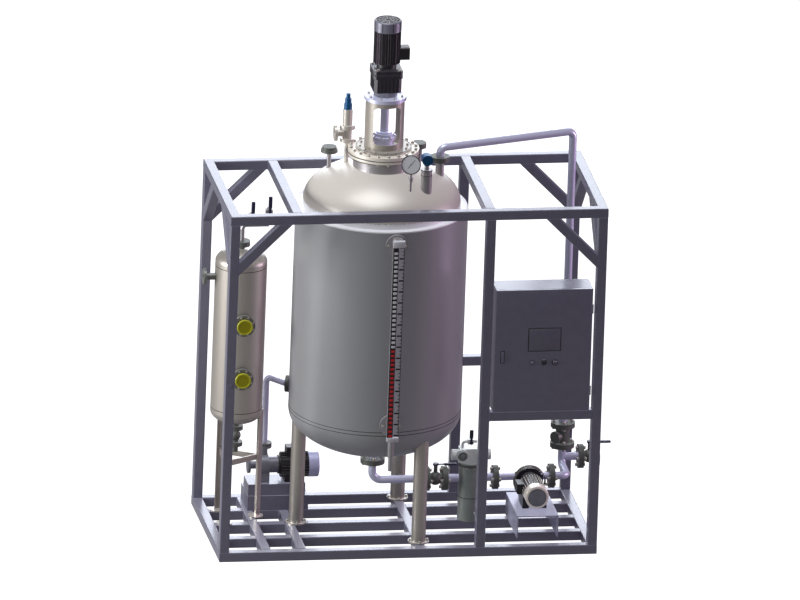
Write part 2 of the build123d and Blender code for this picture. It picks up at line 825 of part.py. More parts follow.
def drain_valve():
    """Outlet valve outside the frame, with an open flange for the site's pipe."""
    valve = flanged_valve((drain_x(), riser_depth, branch_height), (1, 0, 0))
    x = drain_x() + valve_length / 2
    valve += rod(stem_diameter / 2, (x, riser_depth, branch_height), (0, 0, 1),
                 valve_body_diameter / 2 + stem_height)
    end = drain_x() + valve_length
    valve -= rod(pipe_diameter / 2 - pipe_wall, (end - 40, riser_depth, branch_height), (1, 0, 0), 40)
    for i in range(flange_holes):
        angle = math.radians(360 / flange_holes * (i + 0.5))
        y = riser_depth + flange_bolt_circle / 2 * math.cos(angle)
        z = branch_height + flange_bolt_circle / 2 * math.sin(angle)
        valve -= rod(flange_hole_diameter / 2, (end - flange_thickness, y, z), (1, 0, 0), flange_thickness)
    return valve


def drain_valve_lever():
    z = branch_height + valve_body_diameter / 2 + stem_height
    return flat_lever((drain_x() + valve_length / 2, riser_depth, z), (0, 0, 1), (1, 0, 0), lever_length)


def separator_shell():
    return ring(separator_radius, separator_radius - separator_wall, separator_x, separator_y,
                separator_bottom, separator_top - separator_bottom)


def separator_heads():
    lower = head(separator_radius, separator_head_rise, separator_wall, separator_skirt,
                 separator_x, separator_y, separator_bottom, -1)
    upper = head(separator_radius, separator_head_rise, separator_wall, separator_skirt,
                 separator_x, separator_y, separator_top, 1)
    return [lower, upper]


def separator_legs():
    """Three angle legs below the shell, tied by a flat band."""
    base = separator_bottom - separator_skirt
    dome = domed(separator_radius + seat, separator_head_rise + seat, separator_x, separator_y, base, -1)
    points = []
    frame_ = None
    for angle in (0, 120, 240):
        x = separator_x + separator_leg_circle * math.cos(math.radians(angle))
        y = separator_y + separator_leg_circle * math.sin(math.radians(angle))
        points.append((x, y))
        leg = Box(angle_width, angle_width, base - floor_level) \
            - Pos(-angle_thickness, -angle_thickness, 0) * Box(angle_width, angle_width, base - floor_level)
        leg = Pos(x, y, floor_level + (base - floor_level) / 2) * (Rot(0, 0, angle - 45) * leg)
        leg += rod(separator_foot_diameter / 2, (x, y, floor_level), (0, 0, 1), foot_thickness)
        leg -= dome
        frame_ = leg if frame_ is None else frame_ + leg
    for i in range(3):
        a = Vector(*points[i], 0)
        b = Vector(*points[(i + 1) % 3], 0)
        middle = (a + b) * 0.5
        turn = math.degrees(math.atan2(b.Y - a.Y, b.X - a.X))
        bar = Rot(0, 0, turn) * Box((b - a).length + angle_width - 3, plate, band_height)
        frame_ += Pos(middle.X, middle.Y, band_level + band_height / 2) * bar
    return frame_


def separator_fittings():
    """Two capped sight glasses, the side inlet and the manifold's flanged stub."""
    items = []
    for z in sight_heights:
        y = separator_y - separator_radius - seat
        glass = rod(48, (separator_x, y + 20, z), (0, -1, 0), 40)
        glass += rod(sight_flange_diameter / 2, (separator_x, y - 12, z), (0, -1, 0), 20)
        glass += rod(sight_cap_diameter / 2, (separator_x, y - 32, z), (0, -1, 0), 22)
        items.append(glass - rod(separator_radius + seat, (separator_x, separator_y, separator_bottom),
                                 (0, 0, 1), separator_top - separator_bottom))
    z = side_nozzle_height
    side = rod(small_pipe_diameter / 2, (separator_x, separator_y, z), (-1, 0, 0), side_nozzle_reach)
    side += rod(small_flange_diameter / 2, (separator_x - side_nozzle_reach + flange_thickness, separator_y, z),
                (-1, 0, 0), flange_thickness)
    side -= rod(small_pipe_diameter / 2 - pipe_wall, (separator_x, separator_y, z), (-1, 0, 0),
                side_nozzle_reach)
    items.append(side - rod(separator_radius + seat, (separator_x, separator_y, separator_bottom), (0, 0, 1),
                            separator_top - separator_bottom))
    return items


def manifold_valves():
    """Height of each manifold valve's centre, left then right."""
    return [(separator_x + manifold_reach - manifold_spacing, manifold_height + 44),
            (separator_x + manifold_reach, manifold_height + 75)]


def separator_manifold():
    """Flanged neck on the separator with a pipe to its two small valves."""
    x = separator_x
    y = separator_y
    dome_top = separator_top + separator_skirt + separator_head_rise
    neck = rod(18, (x, y, dome_top + seat), (0, 0, 1), 40)
    neck += rod(50, (x, y, dome_top + 20), (0, 0, 1), 32)
    pipe = pipe_path([(x, y, dome_top + 40), (x, y, manifold_height), (x + manifold_reach, y, manifold_height)],
                     manifold_pipe_diameter / 2, 25)
    whole = neck + pipe
    for valve_x_, z in manifold_valves():
        whole += rod(manifold_pipe_diameter / 2, (valve_x_, y, manifold_height), (0, 0, 1),
                     z + 36 - manifold_height)
        half = small_valve_width / 2
        whole += block(valve_x_ - half, valve_x_ + half, y - half, y + half, z - 24, z + 24)
        whole += rod(8, (valve_x_, y - half, z), (0, -1, 0), 16)
    return whole


def manifold_levers():
    y = separator_y - small_valve_width / 2 - 16
    return [small_lever((x, y, z), small_lever_length) for x, z in manifold_valves()]


def separator_drain():
    """Flanged valve below the separator."""
    x = separator_x
    y = separator_y
    top = separator_bottom - separator_skirt - separator_head_rise
    drain = rod(20, (x, y, top - 190), (0, 0, 1), 190 - seat)
    for z in (top - 46, top - 150):
        drain += rod(46, (x, y, z), (0, 0, 1), 26)
    drain += Pos(x, y, top - 85) * Sphere(34)
    return drain


def return_pump_place():
    """Where the return pump meets its motor."""
    return left + return_from_left, rail_pitch + return_behind_rail, return_shaft_height


def return_pump():
    """Pump head behind the separator with its upright discharge port and its inlet to the left."""
    x, y, z = return_pump_place()
    body = rod(72, (x - 80, y, z), (1, 0, 0), 60)
    body += rod(50, (x - 20, y, z), (1, 0, 0), 62)
    body += rod(22, (x - 45, y, z), (0, 0, 1), return_port_height)
    body += rod(return_port_diameter / 2, (x - 45, y, z + return_port_height), (0, 0, -1), flange_thickness)
    body += rod(24, (x - 130, y, z), (1, 0, 0), 60)
    body += rod(50, (x - 146, y, z), (1, 0, 0), flange_thickness)
    return body + block(x - 75, x - 15, y - 60, y + 60, return_stand_top, z)


def return_pump_motor():
    """Finned motor to the right of the pump head, with its feet and terminal box."""
    x, y, z = return_pump_place()
    radius = return_motor_diameter / 2
    motor = finned_motor((x + 42, y, z), (1, 0, 0), radius, return_motor_length, return_cowl_length, 16, 12)
    motor += block(x + 80, x + 200, y - 62, y + 62, return_stand_top, z - radius / 2)
    box = block(x + 90, x + 180, y - 40, y + 40, z + 60, z + 122)
    return motor + fillet(box.edges().filter_by(Axis.X), 8)


def return_pump_stand():
    """Plinth between the base rails and the mounting block on it."""
    x, y, z = return_pump_place()
    lower = block(x - 153, x + 225, rail_pitch - tube / 2, back - tube, floor_level, return_frame_top)
    upper = block(x - 150, x + 205, y - 90, y + 90, return_frame_top, return_stand_top)
    return lower + upper


def return_pipe():
    """From the return pump's discharge up to the nozzle on the tank's side."""
    x, y, z = return_pump_place()
    port = z + return_port_height
    angle = math.radians(return_nozzle_angle)
    out = Vector(math.cos(angle), math.sin(angle), 0)
    wall = Vector(tank_x, 0, return_pipe_level) + out * (jacket_radius - 20)
    flange_at = Vector(tank_x, 0, return_pipe_level) + out * (jacket_radius + 28)
    pipe = pipe_path([(x - 45, y, port), (x - 45, y, return_pipe_level),
                      (flange_at.X, flange_at.Y, return_pipe_level)],
                     return_pipe_diameter / 2, top_bend_radius)
    pipe += rod(return_port_diameter / 2, (x - 45, y, port), (0, 0, 1), flange_thickness)
    pipe += rod(52, flange_at, out * -1, 24)
    pipe += rod(22, wall, out, 40)
    return pipe - rod(jacket_radius + seat, (tank_x, 0, jacket_bottom), (0, 0, 1), 400)


def level_gauge():
    """Magnetic level gauge: two flanged nozzles, the chamber and its drain."""
    y = -jacket_radius - gauge_standoff + 30
    column = rod(gauge_tube_diameter / 2, (gauge_x(), y, gauge_bottom - 76), (0, 0, 1),
                 gauge_top - gauge_bottom + 133)
    column += rod(20, (gauge_x(), y, gauge_bottom - 193), (0, 0, 1), 120)
    column += rod(14, (gauge_x(), y, gauge_bottom - 281), (0, 0, 1), 90)
    for z in (gauge_bottom, gauge_top):
        column += rod(22, (gauge_x(), y, z), (0, 1, 0), gauge_standoff)
        column += rod(gauge_flange_diameter / 2, (gauge_x(), -jacket_radius - 6, z), (0, -1, 0), 26)
    return column - rod(jacket_radius + seat, (tank_x, 0, jacket_bottom), (0, 0, 1),
                        jacket_top - jacket_bottom)


def gauge_x():
    return tank_x + 8


def gauge_indicator():
    """Indicator rail and scale plate on the front of the chamber."""
    y = -jacket_radius - gauge_standoff - seat
    z0 = gauge_bottom - 76
    z1 = gauge_top + 57
    x = gauge_x()
    rail = block(x - gauge_rail_width, x - 1, y - 22, y, z0, z1)
    scale = block(x - 1, x + 37, y - 8, y, z0, z1)
    return rail + scale


def cabinet_sides():
    x0 = post_x + tube / 2 + cabinet_side_gap
    x1 = right - tube - cabinet_side_gap
    return x0, x1


def cabinet_box():
    """Sheet-metal cabinet, open at the front behind its door, with a folded lip round the opening."""
    x0, x1 = cabinet_sides()
    y0 = front + door_depth + door_gap
    y1 = front + cabinet_depth
    z0 = cabinet_rail_top
    z1 = z0 + cabinet_height
    box = block(x0, x1, y0, y1, z0, z1)
    box -= block(x0 + sheet, x1 - sheet, y0 + sheet, y1 - sheet, z0 + sheet, z1 - sheet)
    return box - block(x0 + lip, x1 - lip, y0 - sheet, y0 + 2 * sheet, z0 + lip, z1 - lip)


def cabinet_door():
    """Tray-shaped door with the screen's cut-out."""
    x0, x1 = cabinet_sides()
    z0 = cabinet_rail_top
    z1 = z0 + cabinet_height
    door = block(x0, x1, front, front + door_depth, z0, z1)
    door -= block(x0 + sheet, x1 - sheet, front + sheet, front + door_depth, z0 + sheet, z1 - sheet)
    cx = (x0 + x1) / 2
    return door - block(cx - screen_width / 2, cx + screen_width / 2, front, front + sheet,
                        screen_level, screen_level + screen_height)


def door_fittings():
    """Screen unit, the controls below it and the lock, all carried by the door."""
    x0, x1 = cabinet_sides()
    cx = (x0 + x1) / 2
    edge = 0.5
    control_level = screen_level - controls_below_screen
    items = [block(cx - screen_width / 2 + edge, cx + screen_width / 2 - edge, front + 0.5, front + 14,
                   screen_level + edge, screen_level + screen_height - edge)]
    for i in (-1, 0, 1):
        items.append(rod(control_diameter / 2, (cx + i * control_spacing, front - seat, control_level),
                         (0, -1, 0), 12))
    slot = block(x0 + 34, x0 + 66, front - 6 - seat, front - seat, screen_level - 90, screen_level - 10)
    items.append(fillet(slot.edges().filter_by(Axis.Y), 12))
    return items


os.makedirs("parts", exist_ok=True)

nodes = {
    "base_long_rails": long_rails(0),
    "base_cross_rails": base_cross_rails(),
    "base_inner_rails": base_inner_rails(),
    "posts": posts(),
    "top_long_rails": long_rails(frame_height - tube),
    "top_cross_rails": top_cross_rails(),
    "corner_braces": corner_braces(),
    "cabinet_rails": cabinet_rails(),
    "jacket_shell": jacket_shell(),
    "jacket_ring": jacket_ring(),
    "jacket_bottom_head": jacket_bottom_head(),
    "inner_vessel": inner_vessel(),
    "tank_top_head": top_head(),
    "tank_legs": tank_legs(),
    "manhole_neck": manhole_neck(),
    "manhole_cover": manhole_cover(),
    "agitator_stool": agitator_stool(),
    "seal_housing": seal_housing(),
    "agitator_shaft": agitator_shaft(),
    "gearbox": gearbox(),
    "agitator_motor": agitator_motor(),
    "safety_valve": safety_valve(),
    "head_nozzles": head_nozzles(),
    "vapour_nozzle": vapour_nozzle(),
    "pressure_gauge": pressure_gauge(),
    "level_transmitter": level_transmitter(),
    "level_gauge": level_gauge(),
    "gauge_indicator": gauge_indicator(),
    "outlet_pipe": outlet_pipe(),
    "outlet_valve": outlet_valve(),
    "outlet_valve_lever": outlet_valve_lever(),
    "line_spools": line_spools(),
    "filter_body": filter_body(),
    "filter_head": filter_head(),
    "filter_vent": filter_vent(),
    "vent_lever": vent_lever(),
    "transfer_pump": transfer_pump(),
    "transfer_pump_motor": transfer_pump_motor(),
    "transfer_pump_stand": transfer_pump_stand(),
    "riser_lower": riser_lower(),
    "riser_valve": riser_valve(),
    "top_pipe": top_pipe(),
    "drain_valve": drain_valve(),
    "drain_valve_lever": drain_valve_lever(),
    "separator_shell": separator_shell(),
    "separator_heads": separator_heads(),
    "separator_legs": separator_legs(),
    "separator_fittings": separator_fittings(),
    "separator_manifold": separator_manifold(),
    "manifold_lever_left": manifold_levers()[0],
    "manifold_lever_right": manifold_levers()[1],
    "separator_drain": separator_drain(),
    "return_pump": return_pump(),
    "return_pump_motor": return_pump_motor(),
    "return_pump_stand": return_pump_stand(),
    "return_pipe": return_pipe(),
    "cabinet_box": cabinet_box(),
    "cabinet_door": cabinet_door(),
    "door_fittings": door_fittings(),
}

for name, shape in nodes.items():
    if isinstance(shape, list):
        shape = Compound(children=shape)
    export_step(shape, f"parts/{name}.step")
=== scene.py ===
"""Looks of the skid-mounted mixing and storage tank: finishes, fasteners, dials, grilles and the studio."""
import math
import bpy
from mathutils import Matrix, Vector


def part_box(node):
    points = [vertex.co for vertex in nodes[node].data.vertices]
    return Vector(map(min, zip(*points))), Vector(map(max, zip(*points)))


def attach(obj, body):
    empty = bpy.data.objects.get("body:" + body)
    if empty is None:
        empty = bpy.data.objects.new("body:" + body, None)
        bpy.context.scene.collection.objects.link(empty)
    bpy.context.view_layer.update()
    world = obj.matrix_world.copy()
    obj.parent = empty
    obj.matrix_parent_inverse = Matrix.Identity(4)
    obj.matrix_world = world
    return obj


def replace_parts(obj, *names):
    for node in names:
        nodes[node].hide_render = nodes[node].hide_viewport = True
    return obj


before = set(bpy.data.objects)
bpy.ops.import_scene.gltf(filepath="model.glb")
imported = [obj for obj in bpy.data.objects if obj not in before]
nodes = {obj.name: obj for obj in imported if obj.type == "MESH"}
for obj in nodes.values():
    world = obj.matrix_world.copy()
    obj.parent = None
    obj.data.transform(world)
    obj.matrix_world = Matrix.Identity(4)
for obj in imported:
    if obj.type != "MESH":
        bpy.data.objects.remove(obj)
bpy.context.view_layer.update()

MM = 0.001
UP, DOWN, RIGHT, FRONT, BACK = (0, 0, 1), (0, 0, -1), (1, 0, 0), (0, -1, 0), (0, 1, 0)


def low(node):
    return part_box(node)[0]


def high(node):
    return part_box(node)[1]


def centre(node):
    return (low(node) + high(node)) / 2


# Where the main forms are
tank = centre("jacket_shell")
tank_radius = high("jacket_shell").x - tank.x
vessel = centre("separator_shell")
vessel_radius = high("separator_shell").x - vessel.x
gauge_x = centre("level_gauge").x
filter_x = centre("filter_body").x
line_y = centre("outlet_valve").y
line_z = centre("line_spools").z

# Places in the CAD that no piece's box gives by itself
flange_radius = 75 * MM
riser_x = high("riser_valve").x - flange_radius
riser_y = high("riser_valve").y - flange_radius
drain_joint = Vector((low("drain_valve").x, riser_y, low("drain_valve").z + flange_radius))
outlet_joint = low("outlet_pipe").z + 205 * MM
transfer_axis_x = high("transfer_pump_motor").x - 75 * MM
transfer_axis_z = 302 * MM
return_axis_y = 325 * MM
return_axis_z = 323 * MM
gauge_flanges = (873 * MM, 2046 * MM)
filter_caps = [Vector((filter_x + x * MM, low("filter_head").y, low("filter_head").z + 54 * MM))
               for x in (-61, 61)]


# Materials

def linear(code):
    """An sRGB hex colour as linear red, green, blue and alpha."""
    values = []
    for i in (0, 2, 4):
        c = int(code[i:i + 2], 16) / 255
        values.append(c / 12.92 if c <= 0.04045 else ((c + 0.055) / 1.055) ** 2.4)
    return (*values, 1.0)


def add(tree, kind, settings=None, links=None):
    """Adds a node with its settings and its links from other nodes' sockets."""
    item = tree.nodes.new(kind)
    for key, value in (settings or {}).items():
        if isinstance(key, str) and hasattr(item, key):
            setattr(item, key, value)
        else:
            item.inputs[key].default_value = value
    for key, source in (links or {}).items():
        tree.links.new(source, item.inputs[key])
    return item


def start(name, metallic, roughness, code):
    """A new material with its own shader values; returns the material, its tree and the shader."""
    material = bpy.data.materials.new(name)
    material.use_nodes = True
    tree = material.node_tree
    shader = tree.nodes["Principled BSDF"]
    shader.inputs["Metallic"].default_value = metallic
    shader.inputs["Roughness"].default_value = roughness
    shader.inputs["Base Color"].default_value = linear(code)
    return material, tree, shader


def grain(tree, size_mm, stretch=(1, 1, 1), detail=2.0):
    """Noise on Object coordinates whose grain is about size_mm across."""
    where = add(tree, "ShaderNodeTexCoord")
    scale = tuple(s / (size_mm * MM) for s in stretch)
    mapping = add(tree, "ShaderNodeMapping", {"Scale": scale}, {"Vector": where.outputs["Object"]})
    return add(tree, "ShaderNodeTexNoise", {"Scale": 1.0, "Detail": detail}, {"Vector": mapping.outputs[0]})


def vary(tree, shader, noise, dark, light, rough_low, rough_high):
    """Colour and roughness follow the noise between two close values."""
    ramp = add(tree, "ShaderNodeMix", {"data_type": "RGBA"}, {0: noise.outputs[0]})
    ramp.inputs[6].default_value = linear(dark)
    ramp.inputs[7].default_value = linear(light)
    tree.links.new(ramp.outputs[2], shader.inputs["Base Color"])
    spread = add(tree, "ShaderNodeMapRange", {"To Min": rough_low, "To Max": rough_high},
                 {"Value": noise.outputs[0]})
    tree.links.new(spread.outputs[0], shader.inputs["Roughness"])


def bump(tree, shader, noise, depth_mm):
    relief = add(tree, "ShaderNodeBump", {"Strength": 1.0, "Distance": depth_mm * MM},
                 {"Height": noise.outputs[0]})
    tree.links.new(relief.outputs[0], shader.inputs["Normal"])


def frame_enamel():
    """Slate grey stoving enamel on square tube: smooth, with a faint orange-peel ripple."""
    material, tree, shader = start("slate_stoving_enamel", 0.2, 0.34, "656472")
    shader.inputs["Coat Weight"].default_value = 0.4
    shader.inputs["Coat Roughness"].default_value = 0.2
    vary(tree, shader, grain(tree, 60), "616070", "6B6A7A", 0.3, 0.4)
    bump(tree, shader, grain(tree, 3.0), 0.02)
    return material


def brushed_steel(name, dark, light, metallic, along):
    """Rolled and brushed stainless sheet: fine streaks along the brush, which broaden its highlights."""
    material, tree, shader = start(name, metallic, 0.34, light)
    vary(tree, shader, grain(tree, 6.0, along, 3.0), dark, light, 0.30, 0.42)
    bump(tree, shader, grain(tree, 1.5, along, 2.0), 0.006)
    return material


def cast_paint():
    """Dark green-grey primer on cast valve bodies and flanges: matt, with a sand-cast grain."""
    material, tree, shader = start("green_grey_casting_primer", 0.3, 0.5, "3C403A")
    vary(tree, shader, grain(tree, 25), "4B4E4A", "5D605B", 0.42, 0.58)
    bump(tree, shader, grain(tree, 2.0, detail=4.0), 0.12)
    return material


def motor_enamel():
    """Near-black machine enamel on cast housings: semi-gloss, soft at the casting's grain."""
    material, tree, shader = start("black_machine_enamel", 0.2, 0.36, "1E1C20")
    vary(tree, shader, grain(tree, 18), "232126", "343139", 0.3, 0.45)
    bump(tree, shader, grain(tree, 1.8, detail=3.0), 0.06)
    return material


def plain_paint(name, dark, light, roughness=0.4, metallic=0.0):
    """Brushed or sprayed paint with a slight change of tone over a hand's width."""
    material, tree, shader = start(name, metallic, roughness, light)
    vary(tree, shader, grain(tree, 30), dark, light, roughness - 0.05, roughness + 0.06)
    bump(tree, shader, grain(tree, 2.5), 0.02)
    return material


def split(name, base, other, axis, limit, rough=(0.4, 0.4), metallic=0.2):
    """One node in two paints: the second starts past a limit along an axis (x 0, y 1, z 2)."""
    material, tree, shader = start(name, metallic, rough[0], base)
    where = add(tree, "ShaderNodeTexCoord")
    parts = add(tree, "ShaderNodeSeparateXYZ", links={0: where.outputs["Object"]})
    side = add(tree, "ShaderNodeMath", {"operation": "GREATER_THAN", 1: limit}, {0: parts.outputs[axis]})
    mix = add(tree, "ShaderNodeMix", {"data_type": "RGBA"}, {0: side.outputs[0]})
    mix.inputs[6].default_value = linear(base)
    mix.inputs[7].default_value = linear(other)
    noise = grain(tree, 30)
    tone = add(tree, "ShaderNodeMapRange", {"To Min": 0.93, "To Max": 1.05}, {"Value": noise.outputs[0]})
    shade = add(tree, "ShaderNodeVectorMath", {"operation": "SCALE"},
                {0: mix.outputs[2], "Scale": tone.outputs[0]})
    tree.links.new(shade.outputs[0], shader.inputs["Base Color"])
    spread = add(tree, "ShaderNodeMapRange", {"To Min": rough[0], "To Max": rough[1]},
                 {"Value": side.outputs[0]})
    tree.links.new(spread.outputs[0], shader.inputs["Roughness"])
    bump(tree, shader, grain(tree, 2.0), 0.03)
    return material


def clear_glass():
    """Flat gauge glass: clear and thin, so that it only adds a sharp reflection."""
    material, tree, shader = start("gauge_glass", 0.0, 0.03, "FFFFFF")
    shader.inputs["Alpha"].default_value = 0.06
    noise = grain(tree, 200)
    spread = add(tree, "ShaderNodeMapRange", {"To Min": 0.02, "To Max": 0.05}, {"Value": noise.outputs[0]})
    tree.links.new(spread.outputs[0], shader.inputs["Roughness"])
    return material


# How far the grain is squeezed along x, y and z, so that it streaks round a vessel or up a sheet
around = (1, 1, 12)
upright = (12, 12, 1)
ENAMEL = frame_enamel()
STAND = plain_paint("pale_slate_stand_enamel", "8E8FA4", "A2A3B8", 0.36, 0.2)
STOOL = brushed_steel("shaded_stainless_stool", "8F8A82", "A39D95", 0.4, around)
JACKET = brushed_steel("satin_stainless_jacket", "838487", "8F9093", 0.3, around)
# Painted highlight: the ring's stainless is made near white, standing for the light on the ring's top.
RING_WITH_HIGHLIGHT = brushed_steel("stainless_ring_painted_highlight", "CFCFD2", "E4E4E7", 0.25, around)
HEAD = brushed_steel("warm_stainless_head", "B2ADA6", "C0BAB3", 0.15, around)
LEG = brushed_steel("warm_stainless_leg", "A19C95", "B5B0A8", 0.75, around)
FLANGE = brushed_steel("warm_machined_flange", "CFC8BD", "E2DBD0", 0.3, around)
DARK_STEEL = plain_paint("dark_grey_pump_enamel", "6E6F78", "82838D", 0.34, 0.5)
SHEET = brushed_steel("grey_stainless_fitting", "8F8C8E", "A8A5A8", 0.7, upright)
CREAM = brushed_steel("cream_stainless_shell", "A8A29B", "BBB5AD", 0.75, around)
PIPE = brushed_steel("pale_lavender_pipe", "B2B3CC", "C8C9E0", 0.4, upright)
CASTING = cast_paint()
BLACK = motor_enamel()
NAVY = plain_paint("navy_lever_vinyl", "0B0F26", "141B3C", 0.42)
GREEN_GREY = plain_paint("green_grey_filter_enamel", "747A76", "848A86", 0.34, 0.3)
PALE_GREEN_GREY = plain_paint("pale_filter_head_enamel", "C2C9C5", "D2D8D5", 0.34, 0.1)
YELLOW_RIM = plain_paint("yellow_cap_rim_enamel", "8E8D06", "A3A210", 0.36)
ZINC = plain_paint("zinc_plated_steel", "9A9890", "B4B2AA", 0.38, 0.8)
WHITE = plain_paint("pale_flap_enamel", "BCBCC0", "CACACE", 0.45)
DIAL_FACE = plain_paint("pressure_dial_card", "84848A", "909096", 0.5)
DIAL = plain_paint("grey_dial_card", "A6A6AC", "B4B4BA", 0.5)
RED = plain_paint("red_flap_enamel", "A31218", "C4191F", 0.4)
RUBBER = plain_paint("black_seal_rubber", "141416", "1E1E21", 0.7)
SCREEN = plain_paint("dark_screen_glass", "565562", "605F6D", 0.12)
DOOR_GREY = plain_paint("door_fitting_plastic", "6A6974", "787783", 0.4)
GLASS = clear_glass()


def paint(material, *names):
    """One finish all over each of the named CAD pieces."""
    for name in names:
        slots = nodes[name].data.materials
        slots.clear()
        slots.append(material)


def dress_nodes():
    """Every CAD piece gets its finish."""
    paint(ENAMEL, "base_long_rails", "base_cross_rails", "base_inner_rails", "posts", "top_long_rails",
          "top_cross_rails", "corner_braces", "cabinet_rails", "cabinet_box", "cabinet_door",
          "return_pump_stand")
    paint(STAND, "transfer_pump_stand")
    paint(JACKET, "jacket_shell", "jacket_bottom_head", "inner_vessel")
    paint(RING_WITH_HIGHLIGHT, "jacket_ring")
    paint(HEAD, "tank_top_head")
    paint(LEG, "tank_legs")
    paint(SHEET, "manhole_neck", "head_nozzles", "vapour_nozzle", "separator_manifold", "pressure_gauge",
          "level_gauge")
    paint(FLANGE, "manhole_cover")
    paint(STOOL, "agitator_stool")
    paint(PIPE, "agitator_shaft", "seal_housing", "outlet_pipe", "line_spools", "riser_lower", "top_pipe",
          "return_pipe")
    paint(BLACK, "gearbox", "transfer_pump")
    paint(DARK_STEEL, "return_pump")
    paint(CASTING, "outlet_valve", "riser_valve", "drain_valve", "separator_drain")
    paint(NAVY, "outlet_valve_lever", "drain_valve_lever", "vent_lever", "manifold_lever_left",
          "manifold_lever_right")
    paint(GREEN_GREY, "filter_body")
    paint(PALE_GREEN_GREY, "filter_head", "filter_vent")
    paint(CREAM, "separator_shell", "separator_heads", "separator_legs")
    paint(DIAL, "gauge_indicator")
    paint(DOOR_GREY, "door_fittings")
    cap_blue = "0A4A76"
    # Node, finish's name, first and second colour, axis, limit, roughness of each and metallic
    two_paints = (
        ("agitator_motor", "black_motor_with_grey_cowl", "262428", "6A6A78", 2,
         high("agitator_motor").z - 66 * MM, (0.38, 0.3), 0.2),
        ("transfer_pump_motor", "motor_with_cream_cowl", "EBE4DA", "1E1C20", 1,
         low("transfer_pump_motor").y + 70 * MM, (0.3, 0.4), 0.2),
        ("return_pump_motor", "motor_with_lavender_cowl", "1E1C20", "BEC0E1", 0,
         high("return_pump_motor").x - 66 * MM, (0.4, 0.3), 0.2),
        ("safety_valve", "valve_with_blue_cap", "B9B4AC", cap_blue, 2,
         high("safety_valve").z - 100 * MM, (0.34, 0.4), 0.4),
        ("level_transmitter", "stub_with_blue_sensor", "8F8C8E", cap_blue, 2,
         high("level_transmitter").z - 74 * MM, (0.34, 0.4), 0.4),
        ("separator_fittings", "fittings_with_yellow_caps", "8C8800", "6E6F6C", 1,
         low("separator_fittings").y + 21.5 * MM, (0.4, 0.36), 0.4))
    for node, *finish in two_paints:
        paint(split(*finish), node)


def recolour(node, material, test):
    """Gives the faces of a CAD piece that pass the test a second finish, by material slot."""
    mesh = nodes[node].data
    mesh.materials.append(material)
    place = len(mesh.materials) - 1
    for face in mesh.polygons:
        if test(face.center):
            face.material_index = place


def above(z):
    """A test for faces higher than z."""
    return lambda point: point.z > z


def below(z):
    """A test for faces lower than z."""
    return lambda point: point.z < z


def flange_faces(middle, direction):
    """A test for the faces of a flanged joint: within its thickness, and outside the pipe."""
    middle = Vector(middle)
    direction = Vector(direction)
    half_joint, pipe, rim = 16.5 * MM, 25.2 * MM, 90 * MM

    def test(point):
        offset = point - middle
        along = offset.dot(direction)
        radial = (offset - direction * along).length
        return abs(along) <= half_joint and pipe < radial < rim
    return test


def dark_flanges():
    """Pipe flanges are primed green-grey castings, unlike the pipes that they join."""
    valve_left, valve_right = low("outlet_valve").x, high("outlet_valve").x
    pump_left, pump_right = low("transfer_pump").x, high("transfer_pump").x
    for node, x in (("outlet_pipe", valve_left), ("line_spools", valve_right), ("line_spools", pump_left),
                    ("transfer_pump", pump_left), ("transfer_pump", pump_right),
                    ("riser_lower", pump_right)):
        recolour(node, CASTING, flange_faces((x, line_y, line_z), RIGHT))
    recolour("outlet_pipe", CASTING, flange_faces((tank.x, 0, outlet_joint), UP))
    recolour("riser_lower", CASTING, flange_faces((riser_x, riser_y, low("riser_valve").z), UP))
    recolour("top_pipe", CASTING, flange_faces((riser_x, riser_y, high("riser_valve").z), UP))
    recolour("riser_lower", CASTING, flange_faces(drain_joint, RIGHT))
    pump_x = centre("transfer_pump_motor").x
    casing = 86 * MM
    port = 24 * MM
    recolour("transfer_pump", PIPE, lambda p: abs(p.x - pump_x) > casing and abs(p.z - line_z) < port
             and abs(p.y) < port)
    recolour("return_pipe", CASTING, below(high("return_pump").z + 17 * MM))
    tank_flange = tank_radius + 16 * MM
    recolour("return_pipe", CASTING, lambda p: abs((p - tank).xy.length - tank_flange) < 15 * MM)
    manifold = high("separator_heads").z
    recolour("separator_manifold", CASTING, lambda p: manifold < p.z < manifold + 56 * MM)
    recolour("head_nozzles", CASTING, above(high("head_nozzles").z - 62 * MM))
    recolour("vapour_nozzle", CASTING, above(high("vapour_nozzle").z - 33 * MM))
    recolour("manhole_neck", FLANGE, above(high("manhole_cover").z - 45 * MM))
    # Painted highlight: the head's lowest band takes the ring's near-white paint, running on from the ring's
    # lit top.
    recolour("tank_top_head", RING_WITH_HIGHLIGHT, below(low("tank_top_head").z + 34 * MM))
    stool_cap = high("agitator_stool").z - 23 * MM
    # Painted highlight: the stool's cap is made pale lavender, standing for the light on its top.
    recolour("agitator_stool", PIPE, above(stool_cap))
    recolour("gearbox", DARK_STEEL, below(stool_cap + 60 * MM))


# Modelling helpers

def fresh(material):
    """Gives the active object its finish and returns it."""
    item = bpy.context.object
    item.data.materials.clear()
    item.data.materials.append(material)
    return item


def clear():
    bpy.ops.object.select_all(action="DESELECT")


def edit(item):
    """Opens a piece in edit mode, with all of it selected."""
    bpy.context.view_layer.objects.active = item
    bpy.ops.object.mode_set(mode="EDIT")
    bpy.ops.mesh.select_all(action="SELECT")


def done():
    bpy.ops.object.mode_set(mode="OBJECT")


def bevel(item, width, segments=2):
    edge = item.modifiers.new("edge", "BEVEL")
    edge.width = width
    edge.segments = segments
    edge.limit_method = "ANGLE"
    edge.angle_limit = 0.6
    bpy.context.view_layer.objects.active = item
    bpy.ops.object.modifier_apply(modifier=edge.name)


def smooth(item, angle=0.6):
    clear()
    item.select_set(True)
    bpy.context.view_layer.objects.active = item
    bpy.ops.object.shade_smooth_by_angle(angle=angle)
    clear()


def pose(place, direction):
    """Takes a piece from the origin and the z axis to a place and a direction."""
    turn = Vector(UP).rotation_difference(Vector(direction)).to_matrix().to_4x4()
    return Matrix.Translation(Vector(place)) @ turn


def about_tank(angle):
    """Turns a piece that was made at the origin round the tank's axis."""
    return Matrix.Translation((tank.x, 0, 0)) @ Matrix.Rotation(angle, 4, "Z")


